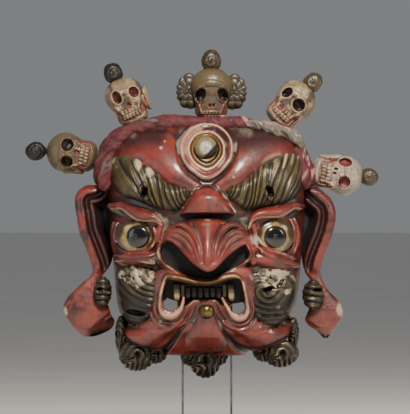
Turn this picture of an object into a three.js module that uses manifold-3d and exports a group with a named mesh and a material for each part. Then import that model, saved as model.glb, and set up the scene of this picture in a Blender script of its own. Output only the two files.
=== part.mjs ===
// A Himalayan cham dance mask: a hollow moulded face with ears, brows, cheek tufts and beard, a rolled
// crown band over the forehead, five separately moulded skulls on that band, and a display stand of two
// thin steel rods on a flat foot. Millimetres, +Z up, the face looks along -Y, and the origin is at the
// centre of the foot's underside.
import * as THREE from "three";
import { mergeVertices } from "three/addons/utils/BufferGeometryUtils.js";
import Module from "manifold-3d";

const wasm = await Module();
wasm.setup();

// ---------------------------------------------------------------- driving dimensions
const EYE_LINE = 232; // height of the mask's eye line above the table
const RIM_Y = 50; // the mask's back rim lies in this plane
const WALL = 7; // wall of the moulded shell
const TOUCH_GAP = 0.3; // air left where two separate pieces touch

const FACE = {
  halfWidth: 110, // at the eye line
  flare: 0.07, // extra half-width per mm of height
  halfHeight: 131,
  corner: 4.5, // superellipse power of the outline
  depth: 104, // front of the bare dome, ahead of the rim
  dome: 2.8, // power of the dome's roundness
};
const FRONT_GRID = { across: 20, up: 24 };
const HOLLOW_GRID = { across: 12, up: 14 };
const BAND = { halfWidth: 122, halfHeight: 130, radius: 6.5, y: -13, sides: 8, steps: 22 };
const MOUTH_HOLES = [
  { x: -40, z: -77 },
  { x: 34.5, z: -79 },
];
const HOLE_RADIUS = 9.5;

const FOOT = { width: 190, depth: 140, height: 10, corner: 8, chamfer: 1.5 };
const ROD = {
  x: 28, // either side of the middle
  y: 54, // just behind the mask's rim
  radius: 1.3,
  sides: 12,
  socketDepth: 7,
  topZ: 330,
  bend: 16,
  reach: 64, // how far the top runs forward
  rise: 5,
};

// ---------------------------------------------------------------- small helpers
const clamp = (v, low, high) => Math.min(high, Math.max(low, v));
const smooth = (a, b, v) => {
  const t = clamp((v - a) / (b - a), 0, 1);
  return t * t * (3 - 2 * t);
};
const mix = (a, b, t) => a + (b - a) * t;
const power = (v, p) => Math.abs(v) ** p;

// A round-edged mound, 1 at its centre and 0 outside its ellipse.
function mound(x, z, cx, cz, halfWidth, halfHeight) {
  const d2 = ((x - cx) / halfWidth) ** 2 + ((z - cz) / halfHeight) ** 2;
  return d2 >= 1 ? 0 : (1 - d2) ** 1.2;
}

function solidFrom(geometry) {
  const bare = new THREE.BufferGeometry();
  bare.setAttribute("position", geometry.getAttribute("position"));
  if (geometry.index) bare.setIndex(geometry.index);
  const merged = mergeVertices(bare.index ? bare.toNonIndexed() : bare, 1e-3);
  const triVerts = new Uint32Array(merged.index.array);
  return new wasm.Manifold(
    new wasm.Mesh({ numProp: 3, vertProperties: merged.attributes.position.array, triVerts }),
  );
}

function geometryFrom(solid) {
  const mesh = solid.getMesh();
  const geometry = new THREE.BufferGeometry();
  geometry.setAttribute("position", new THREE.BufferAttribute(mesh.vertProperties, 3));
  geometry.setIndex(new THREE.BufferAttribute(mesh.triVerts, 1));
  geometry.computeVertexNormals();
  return geometry;
}

// A closed body from points and faces, turned so that its faces look outward.
function bodyFrom(points, faces) {
  const geometry = new THREE.BufferGeometry().setFromPoints(points);
  geometry.setIndex(faces);
  const solid = solidFrom(geometry);
  if (solid.volume() > 0) return solid;
  for (let k = 0; k < faces.length; k += 3) [faces[k], faces[k + 1]] = [faces[k + 1], faces[k]];
  geometry.setIndex(faces);
  return solidFrom(geometry);
}

// A closed body from rings of points, each ring running round the same way, with a flat fan at each end.
// With ring set, the last ring joins the first instead.
function loft(rings, ring = false) {
  const sides = rings[0].length;
  const points = rings.flat();
  const faces = [];
  const at = (i, j) => (i % rings.length) * sides + (j % sides);
  for (let i = 0; i + (ring ? 0 : 1) < rings.length; i++)
    for (let j = 0; j < sides; j++)
      faces.push(at(i, j), at(i, j + 1), at(i + 1, j + 1), at(i, j), at(i + 1, j + 1), at(i + 1, j));
  if (!ring) {
    const middle = (row) => row.reduce((sum, p) => sum.add(p), new THREE.Vector3()).divideScalar(sides);
    const last = rings.length - 1;
    points.push(middle(rings[0]), middle(rings[last]));
    for (let j = 0; j < sides; j++) {
      faces.push(points.length - 2, at(0, j + 1), at(0, j));
      faces.push(points.length - 1, at(last, j), at(last, j + 1));
    }
  }
  return bodyFrom(points, faces);
}

// An ellipsoid with its half-sizes along X, Y and Z; turn leans it in the plane of the face, in degrees.
function ellipsoid(x, y, z, rx, ry, rz, turn = 0, across = 9, up = 6) {
  const ball = new THREE.SphereGeometry(1, across, up);
  ball.rotateX(Math.PI / 2);
  ball.scale(rx, ry, rz);
  ball.rotateY(THREE.MathUtils.degToRad(-turn));
  ball.translate(x, y, z);
  return solidFrom(ball);
}

// A tube through places [x, y, z, radius], round in section; ring closes it on itself.
function tube(places, { ring = false, steps = 12, sides = 6 } = {}) {
  const line = new THREE.CatmullRomCurve3(places.map(([x, y, z]) => new THREE.Vector3(x, y, z)), ring);
  const sizes = new THREE.CatmullRomCurve3(places.map((p) => new THREE.Vector3(p[3], 0, 0)), ring);
  const rings = [];
  for (let i = 0; i < steps + (ring ? 0 : 1); i++) {
    const centre = line.getPoint(i / steps);
    const along = line.getTangent(i / steps);
    const across = new THREE.Vector3(-along.z, 0, along.x).normalize();
    const lift = new THREE.Vector3().crossVectors(along, across);
    const radius = sizes.getPoint(i / steps).x;
    const row = [];
    for (let j = 0; j < sides; j++) {
      const a = (2 * Math.PI * j) / sides;
      const spoke = across.clone().multiplyScalar(radius * Math.cos(a));
      row.push(centre.clone().add(spoke).addScaledVector(lift, radius * Math.sin(a)));
    }
    rings.push(row);
  }
  return loft(rings, ring);
}

const joined = (solids) => solids.reduce((whole, part) => whole.add(part));

// Fills the small pockets of air that raised forms close in between them.
const filled = (solid) => joined(solid.decompose().filter((part) => part.volume() > 0));

// ---------------------------------------------------------------- the shell
// Everything on the mask is placed in the mask's own frame: X to the viewer's right, Z up from the eye
// line, and Y back from the rim's plane.
const outlineWidth = (z) => FACE.halfWidth + FACE.flare * z;
const archOf = (reach) => (1 - Math.min(1, reach) ** FACE.dome) ** (1 / FACE.dome);

// Where the bare dome stands behind a place on the face.
function domeY(x, z) {
  const n = FACE.corner;
  const reach = (power(x / outlineWidth(z), n) + power(z / FACE.halfHeight, n)) ** (1 / n);
  return -FACE.depth * archOf(reach);
}

// A place [x, z] on the dome, raised ahead of it by lift.
const onDome = (x, z, lift) => [x, domeY(x, z) - lift, z];

// A square grid is drawn into the superellipse outline, and its rows crowd towards the rim.
function frontal(s, t) {
  const square = Math.max(Math.abs(s), Math.abs(t));
  if (square === 0) return [0, 0, 0];
  const round = (power(s, FACE.corner) + power(t, FACE.corner)) ** (1 / FACE.corner);
  const knee = 0.8;
  const c = 1 / (1 - knee * knee);
  const reach = square < knee ? 2 * c * (1 - knee) * square : 1 - c * (1 - square) ** 2;
  return [(s / round) * reach, (t / round) * reach, reach];
}

// The dome grown outward by an amount (inward when negative), its rim moved back by a step.
const grownDome = (growth, step) => (s, t) => {
  const [p, q, reach] = frontal(s, t);
  const z = q * (FACE.halfHeight + growth);
  const x = p * (outlineWidth(z) + growth);
  return new THREE.Vector3(x, step - (FACE.depth + growth + step) * archOf(reach), z);
};

// A closed body: the sheet in front, and a flat fan across its back.
function domeBody({ across, up }, pointAt) {
  const points = [];
  for (let j = 0; j <= up; j++)
    for (let i = 0; i <= across; i++) points.push(pointAt((2 * i) / across - 1, (2 * j) / up - 1));
  const at = (i, j) => j * (across + 1) + i;
  const faces = [];
  for (let j = 0; j < up; j++)
    for (let i = 0; i < across; i++) {
      faces.push(at(i, j), at(i + 1, j), at(i + 1, j + 1));
      faces.push(at(i, j), at(i + 1, j + 1), at(i, j + 1));
    }
  const edge = [];
  for (let i = 0; i < across; i++) edge.push(at(i, 0));
  for (let j = 0; j < up; j++) edge.push(at(across, j));
  for (let i = across; i > 0; i--) edge.push(at(i, up));
  for (let j = up; j > 0; j--) edge.push(at(0, j));
  const middle = points.push(new THREE.Vector3(0, points[0].y, 0)) - 1;
  edge.forEach((k, n) => faces.push(middle, edge[(n + 1) % edge.length], k));
  return bodyFrom(points, faces);
}

const frontBody = () => domeBody(FRONT_GRID, grownDome(0, 0));
// The hollow is carried a little past the rim so that it opens cleanly, with a dent behind the nose.
const hollowBody = () =>
  domeBody(HOLLOW_GRID, grownDome(-WALL, 1)).add(ellipsoid(0, -92, -14, 24, 22, 26));

// ---------------------------------------------------------------- the crown band
// A round roll along the superellipse arch, from the top of one ear to the other.
class ArchCurve extends THREE.Curve {
  getPoint(t) {
    const a = mix(Math.PI - 0.13, 0.2, t);
    const squash = (v) => Math.sign(v) * power(v, 2 / FACE.corner);
    return new THREE.Vector3(
      BAND.halfWidth * squash(Math.cos(a)),
      BAND.y,
      BAND.halfHeight * squash(Math.sin(a)),
    );
  }
}

function crownBand(radius) {
  const section = new THREE.Shape();
  section.absarc(0, 0, radius, 0, 2 * Math.PI);
  return solidFrom(
    new THREE.ExtrudeGeometry(section, {
      steps: BAND.steps,
      curveSegments: BAND.sides / 2,
      extrudePath: new ArchCurve(),
    }),
  );
}

// ---------------------------------------------------------------- brow, eyes and third eye
// Rings and a ball in the middle of the forehead.
function thirdEye() {
  const centre = { x: 1, z: 98 };
  const ringOf = (radius, thick, lift) => {
    const places = [];
    for (let k = 0; k < 10; k++) {
      const a = (2 * Math.PI * k) / 10;
      const [x, z] = [centre.x + radius * Math.cos(a), centre.z + radius * Math.sin(a)];
      places.push([...onDome(x, z, lift), thick]);
    }
    return tube(places, { ring: true, steps: 14, sides: 5 });
  };
  const ball = ellipsoid(centre.x, domeY(centre.x, centre.z) - 1, centre.z, 11, 9, 11);
  return [ringOf(24, 4, 1), ringOf(15, 3, 2), ball];
}

// A brow of heavy locks, thick at its inner end and thinning out towards the temple.
function brow(side) {
  const places = [
    [22, 38, 8], [36, 52, 15], [56, 61, 21], [76, 63, 25], [93, 58, 23], [106, 50, 14],
  ];
  return tube(places.map(([x, z, r]) => [...onDome(side * x, z, -0.3 * r), r]), { steps: 9, sides: 8 });
}

function eye(side) {
  const upperLid = [[52, 12, 4], [64, 20, 5.5], [78, 20, 6], [92, 29, 5], [104, 34, 4]];
  const lowerLid = [[56, -8, 3], [68, -17, 4], [82, -19, 4], [97, -12, 3]];
  const lid = (row, lift) =>
    tube(row.map(([x, z, r]) => [...onDome(side * x, z, lift), r]), { steps: 8, sides: 5 });
  return [
    ellipsoid(side * 79, domeY(79, -1) + 1, -1, 21, 13, 16),
    lid(upperLid, 5),
    lid(lowerLid, 4),
    ellipsoid(side * 76, domeY(76, -26) - 1, -27, 27, 12, 9),
  ];
}

// ---------------------------------------------------------------- nose
// The ridge runs down from between the brows and the wings hang below the tip like a hood.
function nose() {
  const stops = [
    [24, 12, 4], [14, 16, 12], [2, 22, 22], [-10, 28, 32], [-22, 30, 40], [-31, 22, 42], [-38, 12, 38],
  ];
  const rings = stops.map(([z, halfWidth, reach]) => {
    const back = domeY(0, z) + 8;
    const row = [];
    for (let j = 0; j < 12; j++) {
      const a = (2 * Math.PI * j) / 12;
      const forward = Math.max(0, Math.sin(a)) ** 1.3;
      row.push(new THREE.Vector3(halfWidth * Math.cos(a), back - (reach + 8) * forward, z));
    }
    return row;
  });
  const folds = [];
  for (const side of [-1, 1])
    for (const [outer, drop, r] of [[42, 0, 5], [46, 9, 5.5], [49, 18, 6]]) {
      const at = (x, z, lift, radius) => [...onDome(side * x, z, lift), radius];
      folds.push(
        tube(
          [
            at(outer, -1 - drop, 3, 0.5 * r),
            at(0.72 * outer, 4 - drop, 14, r),
            at(0.42 * outer, -4 - drop, 27, r),
            at(0.16 * outer, -14 - drop, 34, 0.6 * r),
          ],
          { steps: 6, sides: 5 },
        ),
      );
    }
  return [loft(rings), ...folds, ellipsoid(1, domeY(0, 36) - 2, 37, 22, 14, 21)];
}

const nostrils = () => [-1, 1].map((side) => ellipsoid(side * 27, -123, -35, 14, 15, 9, side * 25));

// ---------------------------------------------------------------- mouth, cheeks and chin
function mouth() {
  const at = (x, z, lift, radius) => [...onDome(x, z, lift), radius];
  const lip = tube(
    [
      at(-50, -66, 9, 4), at(-46, -49, 12, 6), at(-22, -46, 17, 6.5), at(0, -50, 18, 6.5),
      at(22, -45, 17, 6.5), at(40, -47, 12, 6), at(46, -66, 9, 4),
    ],
    { steps: 14, sides: 6 },
  );
  const corners = MOUTH_HOLES.map(({ x, z }) => {
    const places = [];
    for (let k = 0; k < 8; k++) {
      const a = (2 * Math.PI * k) / 8;
      places.push(at(x + 14 * Math.cos(a), z + 16 * Math.sin(a), 9, 4));
    }
    return tube(places, { ring: true, steps: 12, sides: 5 });
  });
  const fangs = [-34, 26].map((x) =>
    tube([at(x, -55, 9, 4.5), at(x, -64, 11, 3.5), at(x, -72, 11, 1)], { steps: 3, sides: 5 }),
  );
  return [
    ellipsoid(-2, domeY(0, -70) + 6, -74, 58, 20, 34),
    ellipsoid(-2, domeY(0, -92) + 4, -94, 27, 20, 20),
    ellipsoid(-3, domeY(0, -66) + 1, -66, 24, 9, 6),
    ellipsoid(0, domeY(0, -84) - 14, -83, 9.8, 9.8, 9.8),
    lip,
    ...corners,
    ...fangs,
  ];
}

const mouthCavity = () => ellipsoid(-2, domeY(0, -58) - 14, -58, 24, 12, 7);

function mouthHoles() {
  return MOUTH_HOLES.map(({ x, z }) => {
    const cutter = new THREE.CylinderGeometry(HOLE_RADIUS, HOLE_RADIUS, 90, 14);
    cutter.translate(x, -FACE.depth, z);
    return solidFrom(cutter);
  });
}

const cheek = (side) => [
  ellipsoid(side * 77, domeY(77, -64) + 2, -62, 27, 20, 34, side * 6),
  ellipsoid(side * 64, domeY(64, -112) + 3, -113, 29, 18, 13, side * 8),
];
const chin = () => ellipsoid(-2, domeY(0, -118) + 6, -120, 60, 26, 19);

const BEARD = [
  { x: -75, z: -136, rx: 25, rz: 21 },
  { x: -3, z: -139, rx: 22, rz: 23 },
  { x: 82, z: -132, rx: 18, rz: 18 },
];
const WHISKERS = [
  { x: -114, z: -64, rx: 12, rz: 15 },
  { x: 114, z: -67, rx: 13, rz: 16 },
];
const beard = () => BEARD.map(({ x, z, rx, rz }) => ellipsoid(x, -54, z, rx, 20, rz));
const whiskers = () => WHISKERS.map(({ x, z, rx, rz }) => ellipsoid(x, -34, z, rx, 13, rz, 0, 8, 6));

// ---------------------------------------------------------------- ears
// A plate carried down a line of places; each place gives X, Z, half-width, half-thickness and how far
// the front is hollowed. Between places the sizes follow a smooth curve.
function ear(places) {
  const line = new THREE.CatmullRomCurve3(places.map(([x, z]) => new THREE.Vector3(x, 0, z)));
  const sizes = new THREE.CatmullRomCurve3(places.map((p) => new THREE.Vector3(p[2], p[3], p[4])));
  const rings = [];
  const steps = 14;
  const sides = 10;
  const squash = (v) => Math.sign(v) * power(v, 0.7);
  for (let i = 0; i <= steps; i++) {
    const centre = line.getPoint(i / steps);
    const along = line.getTangent(i / steps);
    const size = sizes.getPoint(i / steps);
    const across = new THREE.Vector3(-along.z, 0, along.x);
    const row = [];
    for (let j = 0; j < sides; j++) {
      const a = (2 * Math.PI * j) / sides;
      const hollow = Math.sin(a) > 0 ? 1 - size.z * Math.sin(a) ** 2 : 1;
      const lift = new THREE.Vector3(0, EAR_Y - size.y * hollow * Math.sin(a), 0);
      row.push(centre.clone().addScaledVector(across, size.x * squash(Math.cos(a))).add(lift));
    }
    rings.push(row);
  }
  return loft(rings);
}

const EAR_Y = -26;
const leftEar = () =>
  ear([
    [-117, 58, 4, 4, 0],
    [-126, 50, 16, 11, 0.3],
    [-128, 28, 21, 12, 0.9],
    [-127, 4, 18, 12, 0.9],
    [-122, -24, 13, 11, 0.7],
    [-121, -44, 10, 9, 0],
    [-130, -60, 18, 10, 0],
    [-137, -80, 25, 11, 0],
    [-137, -101, 20, 10, 0],
    [-136, -116, 6, 5, 0],
  ]);
const rightEar = () =>
  ear([
    [120, 52, 4, 4, 0],
    [128, 44, 15, 11, 0.3],
    [128, 24, 19, 12, 0.9],
    [125, 0, 17, 12, 0.9],
    [119, -24, 12, 11, 0.7],
    [121, -44, 9, 8, 0],
    [129, -62, 12, 8, 0],
    [134, -82, 18, 9, 0],
    [136, -100, 17, 9, 0],
    [136, -119, 5, 5, 0],
  ]);

// ---------------------------------------------------------------- the mask as one moulded piece
function mask() {
  const raised = [
    frontBody(),
    crownBand(BAND.radius),
    leftEar(),
    rightEar(),
    ...thirdEye(),
    ...[-1, 1].flatMap((side) => [brow(side), ...eye(side), ...cheek(side)]),
    ...nose(),
    chin(),
    ...beard(),
    ...whiskers(),
  ];
  const cut = [...nostrils(), mouthCavity()];
  const face = joined(raised).subtract(joined(cut));
  return filled(joined([face, ...mouth()])).subtract(joined([hollowBody(), ...mouthHoles()]));
}

// ---------------------------------------------------------------- skulls
// Rings up the skull's own axis from the middle of its cranium. Each stop gives height, half-width and
// half-depth; the eye sockets are pressed into the front.
const SKULL_STOPS = [
  [-36, 12, 9],
  [-33, 17, 13],
  [-27, 19.5, 15],
  [-20, 22, 15.5],
  [-13, 21, 16.5],
  [-7, 21, 18.5],
  [0, 22.5, 21],
  [8, 22, 21.5],
  [15, 18, 18],
  [20, 11, 11],
  [22, 7, 7],
  [26, 9.5, 9.5],
  [31.5, 10.5, 10.5],
  [37, 9, 9],
  [41, 4, 4],
];
const SOCKET = { x: 10, up: -2, halfWidth: 8.5, halfHeight: 9, depth: 7 };

function skull({ x, z, tilt, scale }) {
  const sides = 14;
  const rings = SKULL_STOPS.map(([up, halfWidth, halfDepth]) => {
    const ring = [];
    for (let j = 0; j < sides; j++) {
      const a = (2 * Math.PI * j) / sides;
      const px = halfWidth * Math.cos(a);
      const front = Math.max(0, Math.sin(a));
      const near = mound(Math.abs(px), up, SOCKET.x, SOCKET.up, SOCKET.halfWidth, SOCKET.halfHeight);
      ring.push(new THREE.Vector3(px, -halfDepth * Math.sin(a) + SOCKET.depth * near * front, up));
    }
    return ring;
  });
  return loft(rings)
    .scale([scale, scale, scale])
    .rotate([0, -tilt, 0])
    .translate([x, BAND.y, z]);
}

// The middle skull wears a pair of curled side ruffs, moulded in one with it.
function ruffs({ x, z }) {
  return [-1, 1].map((side) => ellipsoid(x + side * 28, BAND.y + 1, z - 3, 15, 7, 22, 0, 10, 6));
}

// tilt is the lean of the skull's axis, in degrees, positive towards the viewer's left.
const SKULLS = {
  skull_far_left: { x: -161, z: 95, tilt: 80, scale: 1 },
  skull_upper_left: { x: -94, z: 158, tilt: 25, scale: 0.97 },
  skull_middle: { x: 5, z: 168, tilt: -1, scale: 1.06 },
  skull_upper_right: { x: 101, z: 155, tilt: -45, scale: 1.03 },
  skull_far_right: { x: 155, z: 69, tilt: -100, scale: 0.98 },
};

// ---------------------------------------------------------------- the stand
function foot() {
  const w = FOOT.width / 2 - FOOT.chamfer;
  const d = FOOT.depth / 2 - FOOT.chamfer;
  const r = FOOT.corner;
  const outline = new THREE.Shape();
  outline.moveTo(-w + r, -d);
  outline.lineTo(w - r, -d);
  outline.absarc(w - r, -d + r, r, -Math.PI / 2, 0);
  outline.absarc(w - r, d - r, r, 0, Math.PI / 2);
  outline.absarc(-w + r, d - r, r, Math.PI / 2, Math.PI);
  outline.absarc(-w + r, -d + r, r, Math.PI, 1.5 * Math.PI);
  const slab = new THREE.ExtrudeGeometry(outline, {
    depth: FOOT.height - 2 * FOOT.chamfer,
    bevelThickness: FOOT.chamfer,
    bevelSize: FOOT.chamfer,
    bevelSegments: 1,
    curveSegments: 4,
  });
  slab.translate(0, 0, FOOT.chamfer);
  let solid = solidFrom(slab);
  for (const x of [-ROD.x, ROD.x]) {
    const socketRadius = ROD.radius + 2 * TOUCH_GAP;
    const socket = new THREE.CylinderGeometry(socketRadius, socketRadius, 2 * ROD.socketDepth, 12);
    socket.rotateX(Math.PI / 2);
    socket.translate(x, ROD.y, FOOT.height);
    solid = solid.subtract(solidFrom(socket));
  }
  return solid;
}

// A rod runs straight up behind the chin and bends forward under the crown, where it carries the mask.
function rod(x) {
  const low = new THREE.Vector3(x, ROD.y, FOOT.height - ROD.socketDepth + TOUCH_GAP);
  const turn = new THREE.Vector3(x, ROD.y, ROD.topZ - ROD.bend);
  const corner = new THREE.Vector3(x, ROD.y, ROD.topZ);
  const ahead = new THREE.Vector3(x, ROD.y - ROD.bend, ROD.topZ);
  const tip = new THREE.Vector3(x, ROD.y - ROD.reach, ROD.topZ + ROD.rise);
  const middle = [low, ...new THREE.QuadraticBezierCurve3(turn, corner, ahead).getPoints(7), tip];
  const rings = middle.map((p, i) => {
    const before = middle[Math.max(0, i - 1)];
    const after = middle[Math.min(middle.length - 1, i + 1)];
    const along = after.clone().sub(before).normalize();
    const aside = new THREE.Vector3(0, -along.z, along.y);
    const ring = [];
    for (let j = 0; j < ROD.sides; j++) {
      const a = (2 * Math.PI * j) / ROD.sides;
      const spoke = aside.clone().multiplyScalar(ROD.radius * Math.sin(a));
      ring.push(p.clone().add(spoke).add(new THREE.Vector3(ROD.radius * Math.cos(a), 0, 0)));
    }
    return ring;
  });
  return loft(rings);
}

// ---------------------------------------------------------------- materials and the scene
const paint = (color, roughness, metalness = 0) =>
  new THREE.MeshStandardMaterial({ color, roughness, metalness });
const RED_LACQUER = paint(0x9c2f22, 0.35);
const BONE_PAINT = paint(0xb5a284, 0.5);
const STEEL = paint(0x6f7276, 0.35, 1);
const FOOT_PAINT = paint(0x1c1d1f, 0.5, 0.2);

const toStand = (solid) => solid.translate([0, RIM_Y, EYE_LINE]);

function pieceOf(name, solid, material) {
  const mesh = new THREE.Mesh(geometryFrom(solid), material);
  mesh.name = name;
  return mesh;
}

const object = new THREE.Group();
const maskSolid = mask();
object.add(pieceOf("mask", toStand(maskSolid), RED_LACQUER));

// What a skull rests on: the band with its air gap, and the dome grown clear of the forehead.
const seat = crownBand(BAND.radius + TOUCH_GAP).add(domeBody(FRONT_GRID, grownDome(1.5, TOUCH_GAP)));
for (const [name, place] of Object.entries(SKULLS)) {
  let solid = skull(place);
  if (name === "skull_middle") for (const ruff of ruffs(place)) solid = solid.add(ruff);
  solid = solid.subtract(seat);
  object.add(pieceOf(name, toStand(solid), BONE_PAINT));
}

object.add(pieceOf("stand_rod_left", rod(-ROD.x), STEEL));
object.add(pieceOf("stand_rod_right", rod(ROD.x), STEEL));
object.add(pieceOf("stand_foot", foot(), FOOT_PAINT));

export default object;
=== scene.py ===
# %% [markdown]
# # A cham dance mask on its rod stand
# This mask of a wrathful guardian is papier-mache and cloth over a mould, primed with gesso, painted
# and lacquered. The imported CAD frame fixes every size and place. Each cell below makes one piece of the
# mask over that frame, as a surface worked out with numpy, and then gives it its finish.

import math

import bpy
import numpy as np
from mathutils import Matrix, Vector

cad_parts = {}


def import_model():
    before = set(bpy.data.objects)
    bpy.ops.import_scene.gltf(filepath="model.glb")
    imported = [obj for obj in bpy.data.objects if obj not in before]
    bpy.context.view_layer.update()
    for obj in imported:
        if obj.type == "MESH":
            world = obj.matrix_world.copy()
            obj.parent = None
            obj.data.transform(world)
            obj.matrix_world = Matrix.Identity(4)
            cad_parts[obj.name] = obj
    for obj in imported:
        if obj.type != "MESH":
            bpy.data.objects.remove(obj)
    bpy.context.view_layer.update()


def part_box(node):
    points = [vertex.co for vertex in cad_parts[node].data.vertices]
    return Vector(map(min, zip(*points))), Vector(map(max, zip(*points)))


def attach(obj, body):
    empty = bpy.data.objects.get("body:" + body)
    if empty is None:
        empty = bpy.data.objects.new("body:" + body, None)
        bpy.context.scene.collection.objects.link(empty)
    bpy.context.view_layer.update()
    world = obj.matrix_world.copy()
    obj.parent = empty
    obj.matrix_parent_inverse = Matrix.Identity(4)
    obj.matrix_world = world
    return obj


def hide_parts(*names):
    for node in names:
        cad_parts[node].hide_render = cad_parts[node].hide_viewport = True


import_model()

# %% [markdown]
# All shapes are drawn in the mask's own frame, in millimetres: x to the right, y back from the plane of
# the mask's rim, and z up from the line of its eyes. `world` carries such places into Blender's metres.

# %% The mask's own frame
RIM_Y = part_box("mask")[1][1] * 1000
EYE_LINE = 232.0


def world(points):
    """Metres in the shared frame: the rim's plane and the eye line are added, then mm become m."""
    return (np.asarray(points, float) + (0, RIM_Y, EYE_LINE)) / 1000


def smoothstep(low, high, value):
    """0 below low, 1 above high, and 3t^2 - 2t^3 between."""
    t = np.clip((np.asarray(value, float) - low) / (high - low), 0, 1)
    return t * t * (3 - 2 * t)


def mix(a, b, t):
    """a where t is 0, b where t is 1."""
    return a + (b - a) * t


print("rim plane at y =", round(RIM_Y, 2), "mm")

# %% [markdown]
# A carved line is described by a few places along it. A Catmull-Rom spline runs smoothly through them,
# and carries whatever else each place holds, such as the line's width and height there.

# %% Splines and distances


def spline(places, count=60, closed=False):
    """Catmull-Rom: each span is a cubic through its two places, with slopes set by their neighbours."""
    rows = np.array(places, float)
    if closed:
        rows = np.vstack([rows[-1:], rows, rows[:2]])
    else:
        rows = np.vstack([2 * rows[0] - rows[1], rows, 2 * rows[-1] - rows[-2]])
    spans = len(rows) - 3
    where = np.linspace(0, spans, count, endpoint=not closed)
    k = np.minimum(where.astype(int), spans - 1)
    t = (where - k)[:, None]
    a, b, c, d = rows[k], rows[k + 1], rows[k + 2], rows[k + 3]
    return 0.5 * (2 * b + (c - a) * t + (2 * a - 5 * b + 4 * c - d) * t**2 + (3 * b - a - 3 * c + d) * t**3)


def distance_along(line):
    """How far along a line each of its places is, from the sum of the steps between them."""
    return np.concatenate([[0], np.cumsum(np.hypot(*np.diff(line[:, :2], axis=0).T))])


def nearest(x, z, line):
    """For each place, its distance to the polyline's nearest segment, and where along the line that is."""
    best = np.full(x.shape, 1e9)
    along = np.zeros(x.shape)
    for k in range(len(line) - 1):
        ax, az = line[k, 0], line[k, 1]
        bx, bz = line[k + 1, 0] - ax, line[k + 1, 1] - az
        t = np.clip(((x - ax) * bx + (z - az) * bz) / max(bx * bx + bz * bz, 1e-9), 0, 1)
        d = (x - ax - t * bx) ** 2 + (z - az - t * bz) ** 2
        closer = d < best
        best = np.where(closer, d, best)
        along = np.where(closer, k + t, along)
    return np.sqrt(best), along


def ridge(x, z, places, power=0.6, count=40):
    """height * (1 - (distance / half_width)^2)^power along a line of places (x, z, half_width, height)."""
    line = spline(places, count)
    reach = line[:, 2].max()
    low, high = line[:, :2].min(0) - reach, line[:, :2].max(0) + reach
    out = np.zeros(x.shape)
    inside = (x > low[0]) & (x < high[0]) & (z > low[1]) & (z < high[1])
    if not inside.any():
        return out
    d, along = nearest(x[inside], z[inside], line)
    step = np.arange(len(line))
    width, height = np.interp(along, step, line[:, 2]), np.interp(along, step, line[:, 3])
    out[inside] = height * np.clip(1 - (d / np.maximum(width, 0.1)) ** 2, 0, 1) ** power
    return out


def mound(x, z, cx, cz, half_x, half_z, turn=0.0, power=0.8):
    """A dome-shaped swelling, (1 - u^2 - v^2)^power in its own turned axes, and 0 outside."""
    a = math.radians(turn)
    u = ((x - cx) * math.cos(a) + (z - cz) * math.sin(a)) / half_x
    v = (-(x - cx) * math.sin(a) + (z - cz) * math.cos(a)) / half_z
    return np.clip(1 - u * u - v * v, 0, 1) ** power


quarter_wave = spline([(0, 0), (1, 1), (2, 0)], 5)
print("a spline through 3 places runs", round(float(distance_along(quarter_wave)[-1]), 2), "mm in 4 steps")

# %% [markdown]
# Hand-laid papier-mache is never quite even. A few sheets of smooth value noise, made from seeded random
# lattices, give the surface its slow unevenness and break up every repeated lock of hair.

# %% Smooth noise


def lattice_noise(x, z, size, seed):
    """Value noise: random heights on a square lattice of the given size, joined by smoothstep."""
    table = np.random.default_rng(seed).uniform(-1, 1, (64, 64))
    u, v = np.asarray(x) / size + 200, np.asarray(z) / size + 200
    i, j = np.floor(u).astype(int), np.floor(v).astype(int)
    s, t = smoothstep(0, 1, u - i), smoothstep(0, 1, v - j)
    at = lambda a, b: table[a % 64, b % 64]
    return mix(mix(at(i, j), at(i + 1, j), s), mix(at(i, j + 1), at(i + 1, j + 1), s), t)


def unevenness(x, z, size, seed):
    """Three octaves of value noise, each half the size and half the height of the last."""
    return sum(lattice_noise(x, z, size / 2**k, seed + k) / 2**k for k in range(3))


def patches(x, z, size, seed):
    """Unevenness brought to about 0..1, for wear and dirt that come in patches."""
    return 0.5 + 0.5 * unevenness(x, z, size, seed)


print("noise at the middle:", round(float(unevenness(0.0, 0.0, 30, 1)), 3))

# %% [markdown]
# Every new piece is a grid of places. One helper turns a grid into a mesh: it joins neighbours into
# quads, closes the grid round on itself where asked, and stores painted masks as point attributes.

# %% From a grid to a mesh


def grid_quads(rows, columns, wrap_rows=False, wrap_columns=False):
    """The four corners of each cell, numbered row by row; a wrapped side joins its last line to its first."""
    i = np.arange(rows if wrap_rows else rows - 1)
    j = np.arange(columns if wrap_columns else columns - 1)
    i, j = (a.ravel() for a in np.meshgrid(i, j, indexing="ij"))
    i2, j2 = (i + 1) % rows, (j + 1) % columns
    return np.stack([i * columns + j, i * columns + j2, i2 * columns + j2, i2 * columns + j], 1)


def fan(loop, tip):
    """Triangles from every edge of a closed loop to one tip."""
    return np.stack([loop, np.roll(loop, -1), np.full(len(loop), tip)], 1)


def end_caps(rings, around):
    """Triangles that close the first and the last ring to two tips, numbered just after the rings."""
    n = rings * around
    first, last = np.arange(around), np.arange(n - around, n)
    return np.vstack([fan(first, n)[:, ::-1], fan(last, n + 1)])


def with_tips(masks):
    """Masks for rings closed by two tips: the tips take 0."""
    return {name: np.append(np.ravel(values), (0, 0)) for name, values in masks.items()}


def volume(points, faces):
    """Six times the enclosed volume: the sum of each triangle's corner triple product."""
    tri = faces if faces.shape[1] == 3 else np.vstack([faces[:, [0, 1, 2]], faces[:, [0, 2, 3]]])
    a, b, c = points[tri[:, 0]], points[tri[:, 1]], points[tri[:, 2]]
    return float(np.einsum("ij,ij->i", a, np.cross(b, c)).sum())


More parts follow.
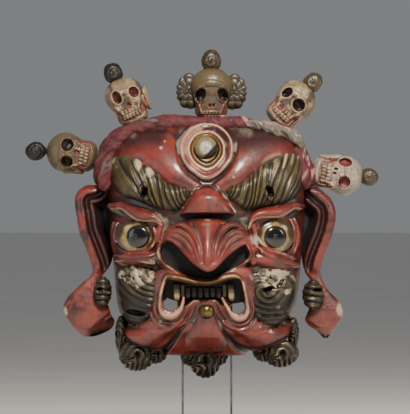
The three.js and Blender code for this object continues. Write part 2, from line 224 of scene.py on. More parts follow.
def build(name, points, faces, masks, stands_for="mask"):
    """A smooth-shaded mesh piece from places and lists of faces, turned so that its faces look outward."""
    points = world(points)
    if sum(volume(points - points.mean(0), f) for f in faces) < 0:
        faces = [f[:, ::-1] for f in faces]
    mesh = bpy.data.meshes.new(name)
    mesh.from_pydata(points.tolist(), [], [face for f in faces for face in f.tolist()])
    for mask, values in masks.items():
        stored = mesh.attributes.new(mask, "FLOAT", "POINT")
        stored.data.foreach_set("value", np.ravel(values).astype(np.float32))
    mesh.polygons.foreach_set("use_smooth", np.ones(len(mesh.polygons), bool))
    mesh.update()
    piece = bpy.data.objects.new(name, mesh)
    bpy.context.scene.collection.objects.link(piece)
    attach(piece, "root")
    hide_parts(stands_for)
    triangles = sum(len(f) * (f.shape[1] - 2) for f in faces)
    print(f"{name}: {len(points)} points, {triangles} triangles")
    return piece


print("a ring of 8 closed to 2 tips takes", len(end_caps(1, 8)), "triangles")

# %% [markdown]
# ## The face's shell
# The mould is a deep dome with a squarish outline, and the face was modelled on top of it. `dome_y` gives
# the bare dome, and `relief` adds every feature as a height ahead of it: the same order of work as the
# maker's, who first formed the shell and then built up brows, lids, nose and lips.

# %% The bare dome
HALF_WIDTH, FLARE, HALF_HEIGHT = 110.0, 0.07, 131.0
DEPTH, CORNER, ROUNDNESS, WALL = 104.0, 4.5, 2.8, 7.0


def outline_width(z):
    """Half-width of the shell at height z: it widens a little towards the forehead."""
    return HALF_WIDTH + FLARE * z


def arch(reach):
    """How far forward the dome stands, 1 in the middle and 0 at the rim: (1 - reach^p)^(1/p)."""
    return (1 - np.clip(reach, 0, 1) ** ROUNDNESS) ** (1 / ROUNDNESS)


def reach_of(x, z):
    """0 in the middle and 1 on the rim: the superellipse norm of a place."""
    return ((np.abs(x) / outline_width(z)) ** CORNER + (np.abs(z) / HALF_HEIGHT) ** CORNER) ** (1 / CORNER)


def dome_y(x, z):
    """The bare dome's y at a place on the face."""
    return -DEPTH * arch(reach_of(x, z))


print("dome stands", round(-float(dome_y(0, 0))), "mm ahead of the rim")

# %% [markdown]
# The features are lists of places in mm. A ridge's places also give its half-width and height. The two
# sides of the face were modelled by hand and differ a little, so each side has its own lists. The third eye
# is stepped rings laid on one another round a ball, and the bell-shaped pad below it hangs over the nose.

# %% Forehead, third eye and the pad between the brows
THIRD_EYE = (-0.5, 98.0)
THIRD_EYE_RADIUS = 32.0
BELL_FOOT = 21.5
BROW_MUSCLE = [(88, 108, 16, 3), (62, 104, 22, 5), (45, 88, 22, 7), (32, 70, 18, 7), (16, 58, 12, 5)]


def third_eye_distance(x, z):
    """Distance from the third eye's centre, stretched so that its rings run to a point at the bottom."""
    dx = x - THIRD_EYE[0] + 0.6 * unevenness(x, z, 14, 15)
    dz = z - THIRD_EYE[1] + 0.6 * unevenness(x, z, 14, 17)
    down = np.clip(-dz / np.maximum(np.hypot(dx, dz), 1e-6), 0, 1)
    return np.hypot(dx, dz) / (1 + 0.13 * down**8)


def ring(d, radius, half_width):
    """A round bead at a distance from a centre."""
    return np.sqrt(np.clip(1 - ((d - radius) / half_width) ** 2, 0, 1))


def forehead(x, z):
    """Muscle pads beside the third eye, its stepped rings, and the bell-shaped pad below it."""
    ax = np.abs(x)
    pads = ridge(ax, z, BROW_MUSCLE, 1.0)
    d = third_eye_distance(x, z)
    steps = 4.5 * smoothstep(31.5, 29.5, d) + 2.5 * ring(d, 27.5, 2.6) - 2.2 * smoothstep(25.5, 22, d)
    steps += 2.8 * ring(d, 20, 2.4) - 1.5 * smoothstep(19, 16, d) - 3.5 * smoothstep(13.5, 12, d)
    on_eye = d < THIRD_EYE_RADIUS
    height = np.where(on_eye, np.maximum(pads * smoothstep(29, 36, d), 0) + steps, pads)
    height -= 2.5 * ring(d, THIRD_EYE_RADIUS + 1, 3.2)
    height = height * smoothstep(124, 112, np.where(on_eye, 0, z + 0.05 * ax))
    half = np.interp(z, [22, 27, 37, 48, 57], [33, 30, 25, 17, 9])
    bell = 15 * np.clip(1 - (ax / half) ** 2, 0, 1) ** 0.55
    bell = bell * smoothstep(59, 42, z) ** 0.8 * smoothstep(BELL_FOOT, 27, z)
    return np.maximum(height, bell) - 3 * ring(z, BELL_FOOT, 2.5) * smoothstep(31, 24, ax)


def height_at(feature, x, z):
    """What one feature adds at a single place, in mm."""
    return round(float(feature(np.array([float(x)]), np.array([float(z)]))[0]), 1)


print("the bell stands", height_at(forehead, 0, 38), "mm ahead, the third eye", height_at(forehead, 27, 98))

# %% [markdown]
# The nose is a hood: it stands out more the lower it hangs, folds fan out of its tip on each side, and its
# rim is rolled over a dark crescent where the nostrils open. The wings run from the rim's ends to the lip.

# %% Nose
NOSE_RIM = [
    (-56, -15), (-54.3, -11), (-45.4, -6.9), (-37.3, -9.4), (-29.2, -17.6), (-21.2, -25.6), (-13.8, -32.9),
    (-6, -38), (0.5, -40), (7, -38.5), (12, -34.5), (18.4, -28), (27.3, -20), (35.3, -14.4), (43, -11),
    (49, -14),
]
NOSE_FOLDS = [
    [
        (-47, 8, 2.6, 1), (-40, 12.5, 4, 6.4), (-31.6, 13.8, 4.2, 8.2), (-22, 9, 4.2, 8.5),
        (-15.5, 0, 4, 8.5), (-10.5, -12, 3.7, 8.2), (-7, -28, 2.9, 4),
    ],
    [
        (-53, 0, 2.6, 1), (-45, 4.6, 3.7, 6), (-36, 6, 4, 8.2), (-27, 2.4, 4, 8.5),
        (-20.2, -4.6, 3.7, 8.2), (-14.4, -15, 3.2, 7.2), (-9.4, -29, 2.6, 4),
    ],
    [
        (-54, -6, 2.6, 1), (-47.5, -0.8, 3.5, 6), (-39.5, 0.6, 3.7, 8.2), (-31, -3, 3.7, 8.5),
        (-23.6, -10.4, 3.5, 8.2), (-17.5, -19.5, 3, 6.4), (-12, -30, 2.4, 3.2),
    ],
    [
        (44, 8, 2.6, 1), (37, 12, 4, 6), (28, 13, 4.4, 8.2), (20, 9, 4.4, 8.5), (14.8, 0.6, 4, 8.5),
        (11, -12, 3.7, 8.2), (8, -29, 2.6, 4),
    ],
    [
        (47, -1, 2.6, 1), (40, 3.6, 4, 6.4), (32, 4, 4.2, 8.2), (24.4, -0.8, 4.2, 8.5),
        (18, -9.6, 4, 8.2), (13.6, -20, 3.2, 6.4), (11, -31, 2.6, 3.2),
    ],
    [
        (50, -7, 2.5, 1), (44, -2, 3.2, 5), (36.5, -1.5, 3.4, 7), (29, -6, 3.4, 7.4),
        (22.5, -13.5, 3.1, 7), (17.2, -22, 2.8, 6), (13.4, -31.5, 2.2, 3),
    ],
]
NOSTRIL_WINGS = [
    [
        (-53, -10, 3.4, 16), (-55.5, -17, 3.4, 16), (-53.5, -24.5, 3.2, 15), (-48.5, -31, 3, 13),
        (-41, -37, 2.6, 11), (-30, -43, 2, 9),
    ],
    [
        (46, -13, 3.2, 15), (49, -18, 3.2, 15), (48, -24.5, 3, 14), (43.5, -29.5, 2.8, 12),
        (36, -34.5, 2.4, 10), (26, -40, 2, 8),
    ],
]


def rim_gap(x, z):
    """How far above the nose's hanging lower rim a place is; negative below it."""
    line = spline(NOSE_RIM, 80)
    return z - np.interp(x, line[:, 0], line[:, 1])


def nose(x, z):
    """A hood that stands out more the lower it goes, its folds fanning from the tip, cut off at its rim."""
    ax = np.abs(x)
    down = np.clip((21 - z) / 56, 0, 1)
    body = (7 + 29 * np.sin(0.5 * np.pi * down**0.85)) * np.exp(-((ax / mix(20, 28, down)) ** 2))
    body = body + 9 * smoothstep(60, 36, ax)
    folds = np.zeros(x.shape)
    for places in NOSE_FOLDS:
        folds = np.maximum(folds, ridge(x, z, places, 0.55))
    crest = 5.6 * np.clip(1 - ((x - 0.5) / mix(17, 6.5, smoothstep(0, 0.85, down))) ** 2, 0, 1)
    rolled = [(px, pz + 3.4, *((4.6, 6) if abs(px) < 50 else (3.4, 3))) for px, pz in NOSE_RIM]
    lip = ridge(x, z, rolled, 0.6, 70)
    top = smoothstep(BELL_FOOT - 0.004 * ax**2, 17 - 0.004 * ax**2, z)
    height = (body - 3.5 + np.maximum(np.maximum(folds, crest), lip)) * top
    return height * smoothstep(-2.2, 0.8, rim_gap(x, z)) * smoothstep(62, 50, ax)


print("the nose's tip stands", height_at(nose, 0.5, -33), "mm ahead and its root", height_at(nose, 0.5, 14))

# %% [markdown]
# The eyes bulge from sunk beds. Heavy lids cross above them, thin folds circle their outer corners, and the
# cheeks swell under them in rolls, as on a face drawn tight in anger.

# %% Eyes and cheeks
EYES = {"left": (-81.0, 0.0, 21.5, 15.5), "right": (77.0, 0.0, 20.5, 16.0)}
BESIDE_NOSE = [(52, 12, 5, 1), (55, 0, 5, 1), (53, -14, 5, 1), (52, -30, 5, 0.9)]
EYE_FOLDS = [
    [
        (-110.5, 32.5, 3, 8), (-98, 34.2, 4.5, 13), (-88.3, 29, 6.5, 15), (-79.5, 24.6, 8, 16),
        (-69, 22.6, 7, 16), (-60, 20.6, 5, 15), (-53, 16, 3, 9),
    ],
    [(-101, 14, 1.6, 5), (-104, 4, 2, 6), (-103.6, -7, 2, 6), (-99, -16, 1.8, 5)],
    [(-105.5, 15, 1.6, 4), (-108, 4, 2, 5), (-107.6, -9, 2, 5), (-103, -20, 1.8, 4)],
    [
        (-101, -12, 2, 6), (-94, -17, 2.4, 8), (-84, -18.4, 2.6, 9), (-72, -17.6, 2.6, 9),
        (-62, -12, 2.4, 8), (-58, -2, 2.4, 7), (-60, 9, 2, 6),
    ],
    [
        (-102, -22, 2.6, 8), (-90, -22.6, 3.2, 11), (-76, -23, 3.4, 12), (-63, -22, 3, 11),
        (-55, -17, 2.6, 8),
    ],
    [(-101, -28, 2.4, 8), (-88, -27.6, 3, 11), (-74, -28.5, 3.2, 12), (-60, -31, 3.2, 11)],
    [
        (47, 10, 2.6, 9), (50.5, 19.3, 4, 13), (59, 24.8, 5.5, 15), (72.5, 26.4, 6.8, 16),
        (83, 27.4, 6.8, 16), (92, 31, 5.5, 15), (100, 34.4, 4, 12), (107, 32.5, 2.6, 8),
    ],
    [(95, 18, 1.6, 5), (98.5, 8, 2, 6), (99, -4, 2, 6), (96, -15, 1.8, 5), (91, -20, 1.6, 5)],
    [(99, 19, 1.6, 4), (102.6, 8, 2, 5), (103, -6, 2, 5), (99, -19, 1.8, 4)],
    [
        (57, -3, 2, 6), (62, -9, 2.4, 8), (70, -15, 2.6, 9), (80, -19, 2.8, 9), (90, -22, 2.6, 8),
        (98, -26, 2.4, 7),
    ],
    [(56, -12, 2.6, 7), (64, -18, 5, 12), (74, -23.5, 6, 13), (88, -29, 5, 12), (101, -33, 3, 8)],
]


def eye_surround(x, z):
    """Lids and wrinkles as ridges round each eye, the cheeks' bulges, and the sunk bed of each eyeball."""
    height = np.maximum(11 * mound(x, z, -79, -24, 28, 10), 10 * mound(x, z, 74, -28, 29, 11, -10, 1.0))
    height = np.maximum(height, 7 * ridge(np.abs(x), z, BESIDE_NOSE, 0.8))
    bed = np.zeros(x.shape)
    for cx, cz, half_x, half_z in EYES.values():
        far = np.abs((x - cx) / half_x) ** 2.6 + np.abs((z - cz) / half_z) ** 2.6
        bed = np.maximum(bed, smoothstep(1.08, 0.86, far))
    height = mix(height, -4, bed)
    for places in EYE_FOLDS:
        height = np.maximum(height, ridge(x, z, places, 0.6))
    return height


print("the left lid stands", height_at(eye_surround, -79.5, 24.6), "mm ahead of the dome")

# %% [markdown]
# The open mouth is sunk to the wall behind a rolled lip, which runs down into a pouch at each corner. Creases
# echo the pouches, the chin swells between them, and two rolls of flesh follow the jaw.

# %% Mouth and chin
MOUTH_HOLES = [(-40.3, -76.5, 9.2, 8.2), (34.0, -80.0, 8.8, 8.2)]
LIP = [
    (-49, -54, 2.8, 16), (-47.5, -48.5, 3.4, 18), (-42, -45.5, 4.2, 19.5), (-30, -47.5, 4.6, 20.5),
    (-19, -50, 4.6, 21.5), (-0.7, -52.3, 4.6, 22), (12, -49.8, 4.6, 21.5), (20, -46.4, 4.6, 20.5),
    (30, -45, 4.4, 19.5), (37, -47.5, 3.6, 18), (40.5, -53, 2.8, 16),
]
LOBES = [
    [
        (-49, -53, 2.4, 16), (-52.3, -66, 2.7, 17), (-53.2, -78, 3.1, 18), (-50.4, -86.6, 4.4, 18.5),
        (-44.5, -90.8, 5.6, 19), (-37.5, -90.4, 5.5, 19), (-31.3, -85.6, 4, 19), (-27.8, -78, 2.8, 18),
        (-26.4, -70, 2.2, 15),
    ],
    [
        (40.5, -53, 2.4, 16), (43.4, -66, 2.7, 17), (45.4, -78, 3.1, 18), (44.6, -87.5, 4.2, 18.5),
        (39.4, -93.2, 5.4, 19), (33, -92.6, 5.4, 19), (26.6, -87, 4.2, 19), (21.5, -79, 3, 18),
        (17.5, -71, 2.2, 15),
    ],
]
JAW = [
    [
        (-99, -103, 5, 9), (-88, -110, 9, 16), (-70, -114, 11, 20), (-52, -112, 10.5, 22),
        (-38, -104.5, 7.5, 21), (-28, -95, 5, 18),
    ],
    [
        (95, -101, 5, 9), (84, -108.5, 8, 16), (68, -113, 10, 20), (50, -114.5, 9.5, 21),
        (33, -108, 7.5, 20), (21, -97, 5, 17),
    ],
]
CREASES = [
    [
        (-98, -111, 2, 3), (-81, -123.5, 3, 6), (-65.3, -128, 3.4, 7), (-49, -126, 3.4, 7),
        (-37.5, -116.6, 3, 5), (-28, -104.3, 3, 3), (-20, -92, 3, 0.5),
    ],
    [
        (13.2, -96, 3, 0.5), (19.4, -109, 3, 3), (31, -120.5, 3, 5), (47, -126.5, 3.4, 7),
        (62.5, -126.5, 3.4, 7), (79, -120, 3, 6), (95, -112.5, 2, 3),
    ],
]
NOSTRIL_BASE = [
    (-58, -14), (-54, -19), (-50, -26), (-43.8, -32), (-37.6, -36.6), (-25.3, -42.7), (-13, -46.2),
    (-0.7, -47.6), (11.7, -45.4), (20.9, -40.4), (30.2, -35), (39.4, -30.4), (44, -27), (48, -22),
    (52, -15),
]
JAW_EDGE = [
    (-52, -131, 5, 12), (-24, -132, 6, 14), (2, -132.5, 6, 14), (28, -133, 5, 12), (50, -132, 4, 10),
]
MOUTH_EDGE = [
    (-47, -50), (-30, -51), (0, -55), (24, -50), (37, -50), (43, -66), (44.5, -82), (38, -91), (29, -87),
    (20, -76), (15, -72), (-23, -72), (-28, -79), (-34, -86), (-42, -89), (-50, -83), (-52, -68),
]
MOUTH_MIDDLE = (-3.0, -62.0)
ECHO_START, ECHO_PITCH = 7.0, 6.2  # from the lip to the first echoing ridge, and from ridge to ridge


def nostril_recess(x, z):
    """1 in the dark crescent between the nose's rim and the line above the lip."""
    base = spline(NOSTRIL_BASE, 90)
    above = z - np.interp(x, base[:, 0], base[:, 1])
    between = smoothstep(1.2, -1.5, rim_gap(x, z)) * smoothstep(-1.5, 1.2, above)
    return between * smoothstep(-53.5, -50.5, x) * smoothstep(47, 44.5, x)


def mouth_and_chin(x, z):
    """The muzzle, lips and corner lobes, the wrinkles echoing them, the chin and the jaw's rolls."""
    muzzle = 15 * np.clip(1 - (np.abs(x + 2) / 66) ** 3 - (np.abs(z + 78) / 52) ** 3, 0, 1) ** 0.5
    chin = 20 * np.clip(1 - (np.abs(x + 2) / 84) ** 3.4 - (np.abs(z + 114) / 26) ** 2.4, 0, 1) ** 0.6
    swell = np.interp(z, [-128, -114, -90], [20, 32, 20])
    boss = swell * np.exp(-((np.abs(x + 1) / np.interp(z, [-130, -112, -95, -72], [48, 30, 19, 15])) ** 2.2))
    height = np.maximum(np.maximum(muzzle, chin), boss * smoothstep(-70, -75, z) * smoothstep(-131, -120, z))
    for places in LOBES:
        line = spline(places, 50)
        d, _ = nearest(x, z, line)
        echo = np.cos((d - ECHO_START) / ECHO_PITCH * 2 * np.pi) * smoothstep(3, 5, d) * smoothstep(20, 12, d)
        height += 1.7 * echo * smoothstep(-74, -84, z)
    for places in JAW:
        height = np.maximum(height, ridge(x, z, places, 0.6))
    for places in CREASES:
        height -= ridge(x, z, places)
    return np.maximum(height, ridge(x, z, JAW_EDGE))


def mouth_opening(x, z):
    """1 inside the open mouth and its corners, which are sunk to the wall."""
    line = spline(MOUTH_EDGE, 160, closed=True)
    centre_x, centre_z = MOUTH_MIDDLE
    angle = np.arctan2(line[:, 1] - centre_z, line[:, 0] - centre_x)
    radius = np.hypot(line[:, 0] - centre_x, line[:, 1] - centre_z)
    order = np.argsort(angle)
    edge = np.interp(np.arctan2(z - centre_z, x - centre_x), angle[order], radius[order], period=2 * np.pi)
    return smoothstep(1.5, -1.5, np.hypot(x - centre_x, z - centre_z) - edge)


def relief(x, z):
    """All features together, in mm ahead of the dome: raised parts by the larger height, then the cuts."""
    height = np.maximum(forehead(x, z), eye_surround(x, z))
    height = np.maximum(height, mouth_and_chin(x, z))
    height = mix(height, -5, nostril_recess(x, z))
    for places in NOSTRIL_WINGS:
        height = np.maximum(height, ridge(x, z, places))
    height = np.maximum(height, nose(x, z))
    lips = ridge(x, z, LIP)
    for places in LOBES:
        lips = np.maximum(lips, ridge(x, z, places, 0.35))
    height = mix(height, -4, mouth_opening(x, z))
    return np.maximum(height, lips) + 0.5 * unevenness(x, z, 26, 11)


print("the lip stands", height_at(relief, -0.7, -52.3), "mm ahead, the chin", height_at(relief, 0, -112))

# %% [markdown]
# The shell is a closed body: a fine front sheet, a coarser inner sheet and the rim between them. A square
# grid is drawn into the rounded outline, so that its lines never bunch at a pole. The mouth's corners are
# really open: the grid's cells there are left out, and the edge is drawn round and joined through the wall.

# %% The shell's grids
ACROSS, UP = 252, 268  # cells of the front sheet; the inner sheet has half as many each way


def frontal(s, t):
    """Where grid place (s, t) in -1..1 lands: drawn in by the superellipse, and crowded towards the rim."""
    square = np.maximum(np.abs(s), np.abs(t))
    norm = np.maximum((np.abs(s) ** CORNER + np.abs(t) ** CORNER) ** (1 / CORNER), 1e-9)
    knee = 0.8
    c = 1 / (1 - knee**2)
    reach = np.where(square < knee, 2 * c * (1 - knee) * square, 1 - c * (1 - square) ** 2)
    return s / norm * reach, t / norm * reach, reach


def front_sheet():
    """Places on the front: the dome, raised by the relief straight ahead and, near the rim, outward too."""
    s, t = np.meshgrid(np.linspace(-1, 1, ACROSS + 1), np.linspace(-1, 1, UP + 1))
    p, q, reach = frontal(s, t)
    z = q * HALF_HEIGHT
    x = p * outline_width(z)
    near_rim = smoothstep(0, 0.5, arch(reach))
    height = relief(x, z) * near_rim
    side = 0.9 * smoothstep(0.86, 1, reach)
    out = np.stack([p * side, -np.ones_like(p), q * side], -1)
    out /= np.linalg.norm(out, axis=-1, keepdims=True)
    return np.stack([x, -DEPTH * arch(reach), z], -1) + out * height[..., None], height


def inner_sheet():
    """Places on the inside: the dome drawn in by the wall's thickness, dented behind the nose."""
    s, t = np.meshgrid(np.linspace(-1, 1, ACROSS // 2 + 1), np.linspace(-1, 1, UP // 2 + 1))
    p, q, reach = frontal(s, t)
    z = q * (HALF_HEIGHT - WALL)
    x = p * (outline_width(z) - WALL)
    lumps = 1.1 * unevenness(x, z, 22, 31) * smoothstep(0, 0.3, arch(reach))
    y = -(DEPTH - WALL) * arch(reach) - 10 * mound(x, z, 0, -10, 34, 28, 0, 1.6) + lumps
    return np.stack([x, y, z], -1)


front, front_height = front_sheet()
inner = inner_sheet()
print("front cell:", round(float(np.abs(np.diff(front[UP // 2, :, 0])).max()), 2), "mm wide at most")

# %% [markdown]
# The mouth is pierced at both corners, where its wearer sees and breathes. Cells inside each hole are left
# out, the places on the cut are drawn onto an ellipse, and a wall joins the front sheet to the inner one.

# %% Cut the mouth's corners and close the wall


def edge_pairs(gone):
    """Cell edges between a left-out cell and a kept one, as (row, column, row, column) in the coarse grid."""
    pad = np.pad(gone, 1)
    found = []
    for di, dj in ((0, 1), (0, -1), (1, 0), (-1, 0)):
        other = pad[1 + di : 1 + di + gone.shape[0], 1 + dj : 1 + dj + gone.shape[1]]
        i, j = np.nonzero(gone & ~other)
        if di == 0:
            column = j + (dj > 0)
            ends = (i, column, i + 1, column) if dj > 0 else (i + 1, column, i, column)
        else:
            row = i + (di > 0)
            ends = (row, j + 1, row, j) if di > 0 else (row, j, row, j + 1)
        found.append(np.stack(ends, 1))
    return np.vstack(found)


coarse_x = inner[..., 0]
coarse_z = inner[..., 2]
cell_x = 0.25 * (coarse_x[1:, 1:] + coarse_x[:-1, 1:] + coarse_x[1:, :-1] + coarse_x[:-1, :-1])
cell_z = 0.25 * (coarse_z[1:, 1:] + coarse_z[:-1, 1:] + coarse_z[1:, :-1] + coarse_z[:-1, :-1])
gone = np.zeros(cell_x.shape, bool)
for cx, cz, half_x, half_z in MOUTH_HOLES:
    gone |= ((cell_x - cx) / half_x) ** 2 + ((cell_z - cz) / half_z) ** 2 < 1
loops = edge_pairs(gone)

for sheet, fine in ((front, 2), (inner, 1)):
    rows = np.concatenate([loops[:, 0], loops[:, 2]]) * fine
    columns = np.concatenate([loops[:, 1], loops[:, 3]]) * fine
    if fine == 2:
        rows = np.concatenate([rows, loops[:, 0] + loops[:, 2]])
        columns = np.concatenate([columns, loops[:, 1] + loops[:, 3]])
    x, z = sheet[rows, columns, 0], sheet[rows, columns, 2]
    for cx, cz, half_x, half_z in MOUTH_HOLES:
        mine = np.hypot(x - cx, z - cz) < 20
        norm = np.sqrt(((x - cx) / half_x) ** 2 + ((z - cz) / half_z) ** 2)
        x = np.where(mine, cx + (x - cx) / norm, x)
        z = np.where(mine, cz + (z - cz) / norm, z)
    sheet[rows, columns, 0], sheet[rows, columns, 2] = x, z

fine_gone = np.repeat(np.repeat(gone, 2, 0), 2, 1)
front_quads = grid_quads(UP + 1, ACROSS + 1)[~fine_gone.ravel()]
offset = front[..., 0].size
inner_quads = grid_quads(UP // 2 + 1, ACROSS // 2 + 1)[~gone.ravel()][:, ::-1] + offset
at_front = lambda i, j: i * (ACROSS + 1) + j
at_inner = lambda i, j: offset + i * (ACROSS // 2 + 1) + j


def wall_between(pairs):
    """Three triangles for each coarse edge, joining it to the two fine edges of the front sheet."""
    i, j, k, l = pairs.T
    a, m, b = at_front(2 * i, 2 * j), at_front(i + k, j + l), at_front(2 * k, 2 * l)
    c, d = at_inner(i, j), at_inner(k, l)
    return np.vstack([np.stack([a, c, m], 1), np.stack([m, c, d], 1), np.stack([m, d, b], 1)])


rim_pairs = edge_pairs(np.ones_like(gone))
walls = np.vstack([wall_between(loops)[:, ::-1], wall_between(rim_pairs)])
print("open mouth corners:", int(gone.sum()), "coarse cells left out;", len(walls), "wall triangles")

# %% [markdown]
# Wear, dirt and painted shade follow the form. Comparing the relief with a blurred copy of itself finds the
# edges that hands and cloth have rubbed down to pale ground, the grooves that hold grey-green dust, and the
# hollows painted dark as shade.

# %% Where paint is worn, where dirt lies and where shade is painted


def blurred(height, radius):
    """Three passes of a running mean along each side, close to a Gaussian of about the same radius."""
    out = height
    for axis in (0, 1) * 3:
        pad = [(0, 0), (0, 0)]
        pad[axis] = (radius + 1, radius)
        total = np.cumsum(np.pad(out, pad, mode="edge"), axis=axis)
        take = lambda a, b: total[a:b] if axis == 0 else total[:, a:b]
        n = out.shape[axis]
        out = (take(2 * radius + 1, 2 * radius + 1 + n) - take(0, n)) / (2 * radius + 1)
    return out


SPOTS = [
    (-52, 99.5, 2.2), (-48, 107, 1.2), (62, -18, 1.4), (-88, -20, 1.0), (72, -108, 2.4),
    (60, -103, 1.6), (-53, -97, 2.6), (30, 66, 1.4), (88, -100, 1.4), (-96, -104, 1.2),
]  # chips in the lacquer: place and radius
BELL_EDGES = [
    [(-10.5, 58), (-17, 48), (-24.5, 37), (-30, 27)],
    [(10.5, 58), (17, 48), (24.5, 37), (32, 27)],
]


def line_mask(x, z, places, half_width):
    """1 along a line and 0 beyond half_width from it."""
    d, _ = nearest(x, z, spline(places, 60)[:, :2])
    return smoothstep(half_width, half_width * 0.4, d)


def face_masks(x, z, height):
    """The painted masks of the face, each from 0 to 1 at every place."""
    ax = np.abs(x)
    patchy = patches(x, z, 14, 51)
    fine, broad, wide = (height - blurred(height, radius) for radius in (1, 4, 12))
    d = third_eye_distance(x, z)
    cream = smoothstep(0.6, 1.6, fine) * smoothstep(0.35, 0.85, patchy) * 0.6
    cream = cream * (1 - smoothstep(4, 1, np.abs(rim_gap(x, z))))
    lobes = np.zeros(x.shape)
    for places in LOBES:
        lobes = np.maximum(lobes, ridge(x, z, [(px, pz + 0.6, w * 0.8, 1) for px, pz, w, _ in places], 0.5))
    cream = np.maximum(cream, smoothstep(0.25, 0.7, lobes) * (0.5 + 0.4 * smoothstep(0.2, 0.7, patchy)))
    cream = np.maximum(cream, 0.95 * np.maximum(ring(d, 29.3, 1.3), ring(d, 20.2, 1.4)))
    between_rings = smoothstep(30, 29, d) * smoothstep(19, 20, d)
    cream = np.maximum(cream, between_rings * (0.12 + 0.4 * smoothstep(0.3, 0.9, patchy)))
    cream = cream * (1 - ring(z, 23, 4) * smoothstep(40, 34, ax))
    crackle = 0.35 + 0.5 * smoothstep(0.3, 0.7, patches(x, z, 5, 55))
    for places in BELL_EDGES:
        cream = np.maximum(cream, crackle * line_mask(x, z, places, 1.3))
    for places in (EYE_FOLDS[0], EYE_FOLDS[6]):
        cream = np.maximum(cream, 0.9 * line_mask(x, z, [(px, pz - 0.8 * w) for px, pz, w, _ in places], 1.6))
    dirt = smoothstep(0.8, 2.8, -broad) * smoothstep(0.25, 0.85, patchy)
    near_eye = np.zeros(x.shape)
    for cx, cz, half_x, half_z in EYES.values():
        near_eye += smoothstep(1.75, 1.4, np.hypot((x - cx) / half_x, (z - cz) / half_z))
    dirt = dirt * (1 - 0.8 * near_eye)
    on_nose = smoothstep(56, 44, ax) * smoothstep(-36, -20, z) * smoothstep(24, 18, z)
    dirt = np.maximum(dirt, smoothstep(0.35, 1.1, -broad) * on_nose * smoothstep(0.0, 0.6, patchy) * 0.9)
    below_band = smoothstep(104, 124, z + 12 * patchy - 6)
    dirt = np.maximum(dirt, below_band * (0.25 + 0.3 * patchy) * smoothstep(32, 36, d))
    dirt = np.maximum(dirt, 0.7 * mound(x, z, -2, 13, 9, 3, 0) * crackle)
    dirt = np.maximum(dirt, 0.3 * smoothstep(0.8, 1.25, patchy) * smoothstep(60, 80, z))
    dirt = np.maximum(dirt, 0.3 * smoothstep(1.5, 4.0, -wide) * smoothstep(0.5, 0.9, patchy))
    dirt = dirt * (1 - 0.6 * mound(x, z, 46, 2, 12, 9))
    bare = smoothstep(1.05, 1.3, patches(x, z, 24, 71)) * 0.6
    for spot_x, spot_z, spot_r in SPOTS:
        bare = np.maximum(bare, smoothstep(spot_r, spot_r * 0.6, np.hypot(x - spot_x, z - spot_z)))
    bare = np.maximum(bare, 0.9 * mound(x, z, 58, -6, 15, 9, -15) * smoothstep(0.25, 0.6, patchy))
    bare = np.maximum(bare, 0.4 * mound(x, z, -58, -28, 12, 14, 20) * smoothstep(0.35, 0.7, patchy))
    # Black: painted shade in the deepest hollows, the open mouth, the chin's creases, the nose's grooves,
    # round the third eye's ball and under the bell's foot. In the nostril recess it is dark paint and painted
    # shade. It also darkens towards the top edge.
    open_mouth = mouth_opening(x, z) * smoothstep(0.3, 0.1, lobes) * smoothstep(8, 5, height)
    dark = np.maximum(smoothstep(2.2, 6, -broad) * smoothstep(0.4, 0.1, lobes), open_mouth)
    for places in CREASES:
        along = line_mask(x, z, [(px, pz) for px, pz, _, _ in places], 2.4)
        dark = np.maximum(dark, along * smoothstep(-100, -112, z))
    dark = np.maximum(dark, ring(d, 13.6, 1.5) * 0.9)
    dark = np.maximum(dark, 0.55 * smoothstep(1.2, 2.8, -broad) * on_nose)
    dark = np.maximum(dark, (0.2 + 0.25 * patchy) * smoothstep(108, 126, z) * smoothstep(32, 36, d))
    dark = np.maximum(dark, 0.9 * ring(z, 21.3, 1.6) * smoothstep(33, 26, ax))
    dark = np.maximum(dark, smoothstep(0.2, 0.8, nostril_recess(x, z)))
    dark = dark * (1 - 0.6 * near_eye)
    gold = 0.9 * line_mask(x, z, [(px, pz) for px, pz, _, _ in LIP[1:-1]], 4.8)
    gold = np.maximum(gold, smoothstep(19.4, 18.4, d))
    # Painted shade: darker in the hollows, under the chin, towards the top under the roll, and towards the
    # sides where the light falls off.
    deep = smoothstep(0.2, 1.2, -broad) * 0.7 + smoothstep(1.0, 5.0, -wide) * 0.75
    deep = deep + 0.3 * smoothstep(-122, -132, z)
    deep = deep + 0.7 * smoothstep(84, 116, z + 8 * patchy) + 0.35 * smoothstep(98, 112, ax)
    deep = deep - 0.5 * smoothstep(0.8, 1.2, patches(x, z, 40, 81))
    deep = np.clip(deep * (1 - 0.6 * near_eye), 0, 1)
    return {"cream": cream, "dirt": dirt, "bare": bare, "dark": dark, "gold": gold, "deep": deep}


masks = face_masks(front[..., 0], front[..., 2], front_height)
print("mean of each mask:", {name: round(float(values.mean()), 3) for name, values in masks.items()})

# %% [markdown]
# The inside was never painted: it stays the brown of paste and cloth, and its masks ask for painted shade and
# a little black.

# %% The face, closed
on_front, on_inside = front[..., 0].size, inner[..., 0].size
inside = {"dark": 0.25, "deep": 0.8}
both = {
    name: np.concatenate([values.ravel(), np.full(on_inside, inside.get(name, 0.0))])
    for name, values in masks.items()
}
both["inside"] = np.concatenate([np.zeros(on_front), np.ones(on_inside)])
points = np.vstack([front.reshape(-1, 3), inner.reshape(-1, 3)])
quads = np.vstack([front_quads, inner_quads])
build("mask_face", points, [quads, walls], both)

# %% [markdown]
# ## Brows, cheek whorls and beard
# The hair is carved as locks on raised pads. A pad is a closed body: a front sheet standing ahead of the
# face, and a back sheet buried in it. Both follow the bare dome, so each pad sits on the face as laid hair.

# %% Pads that sit on the face


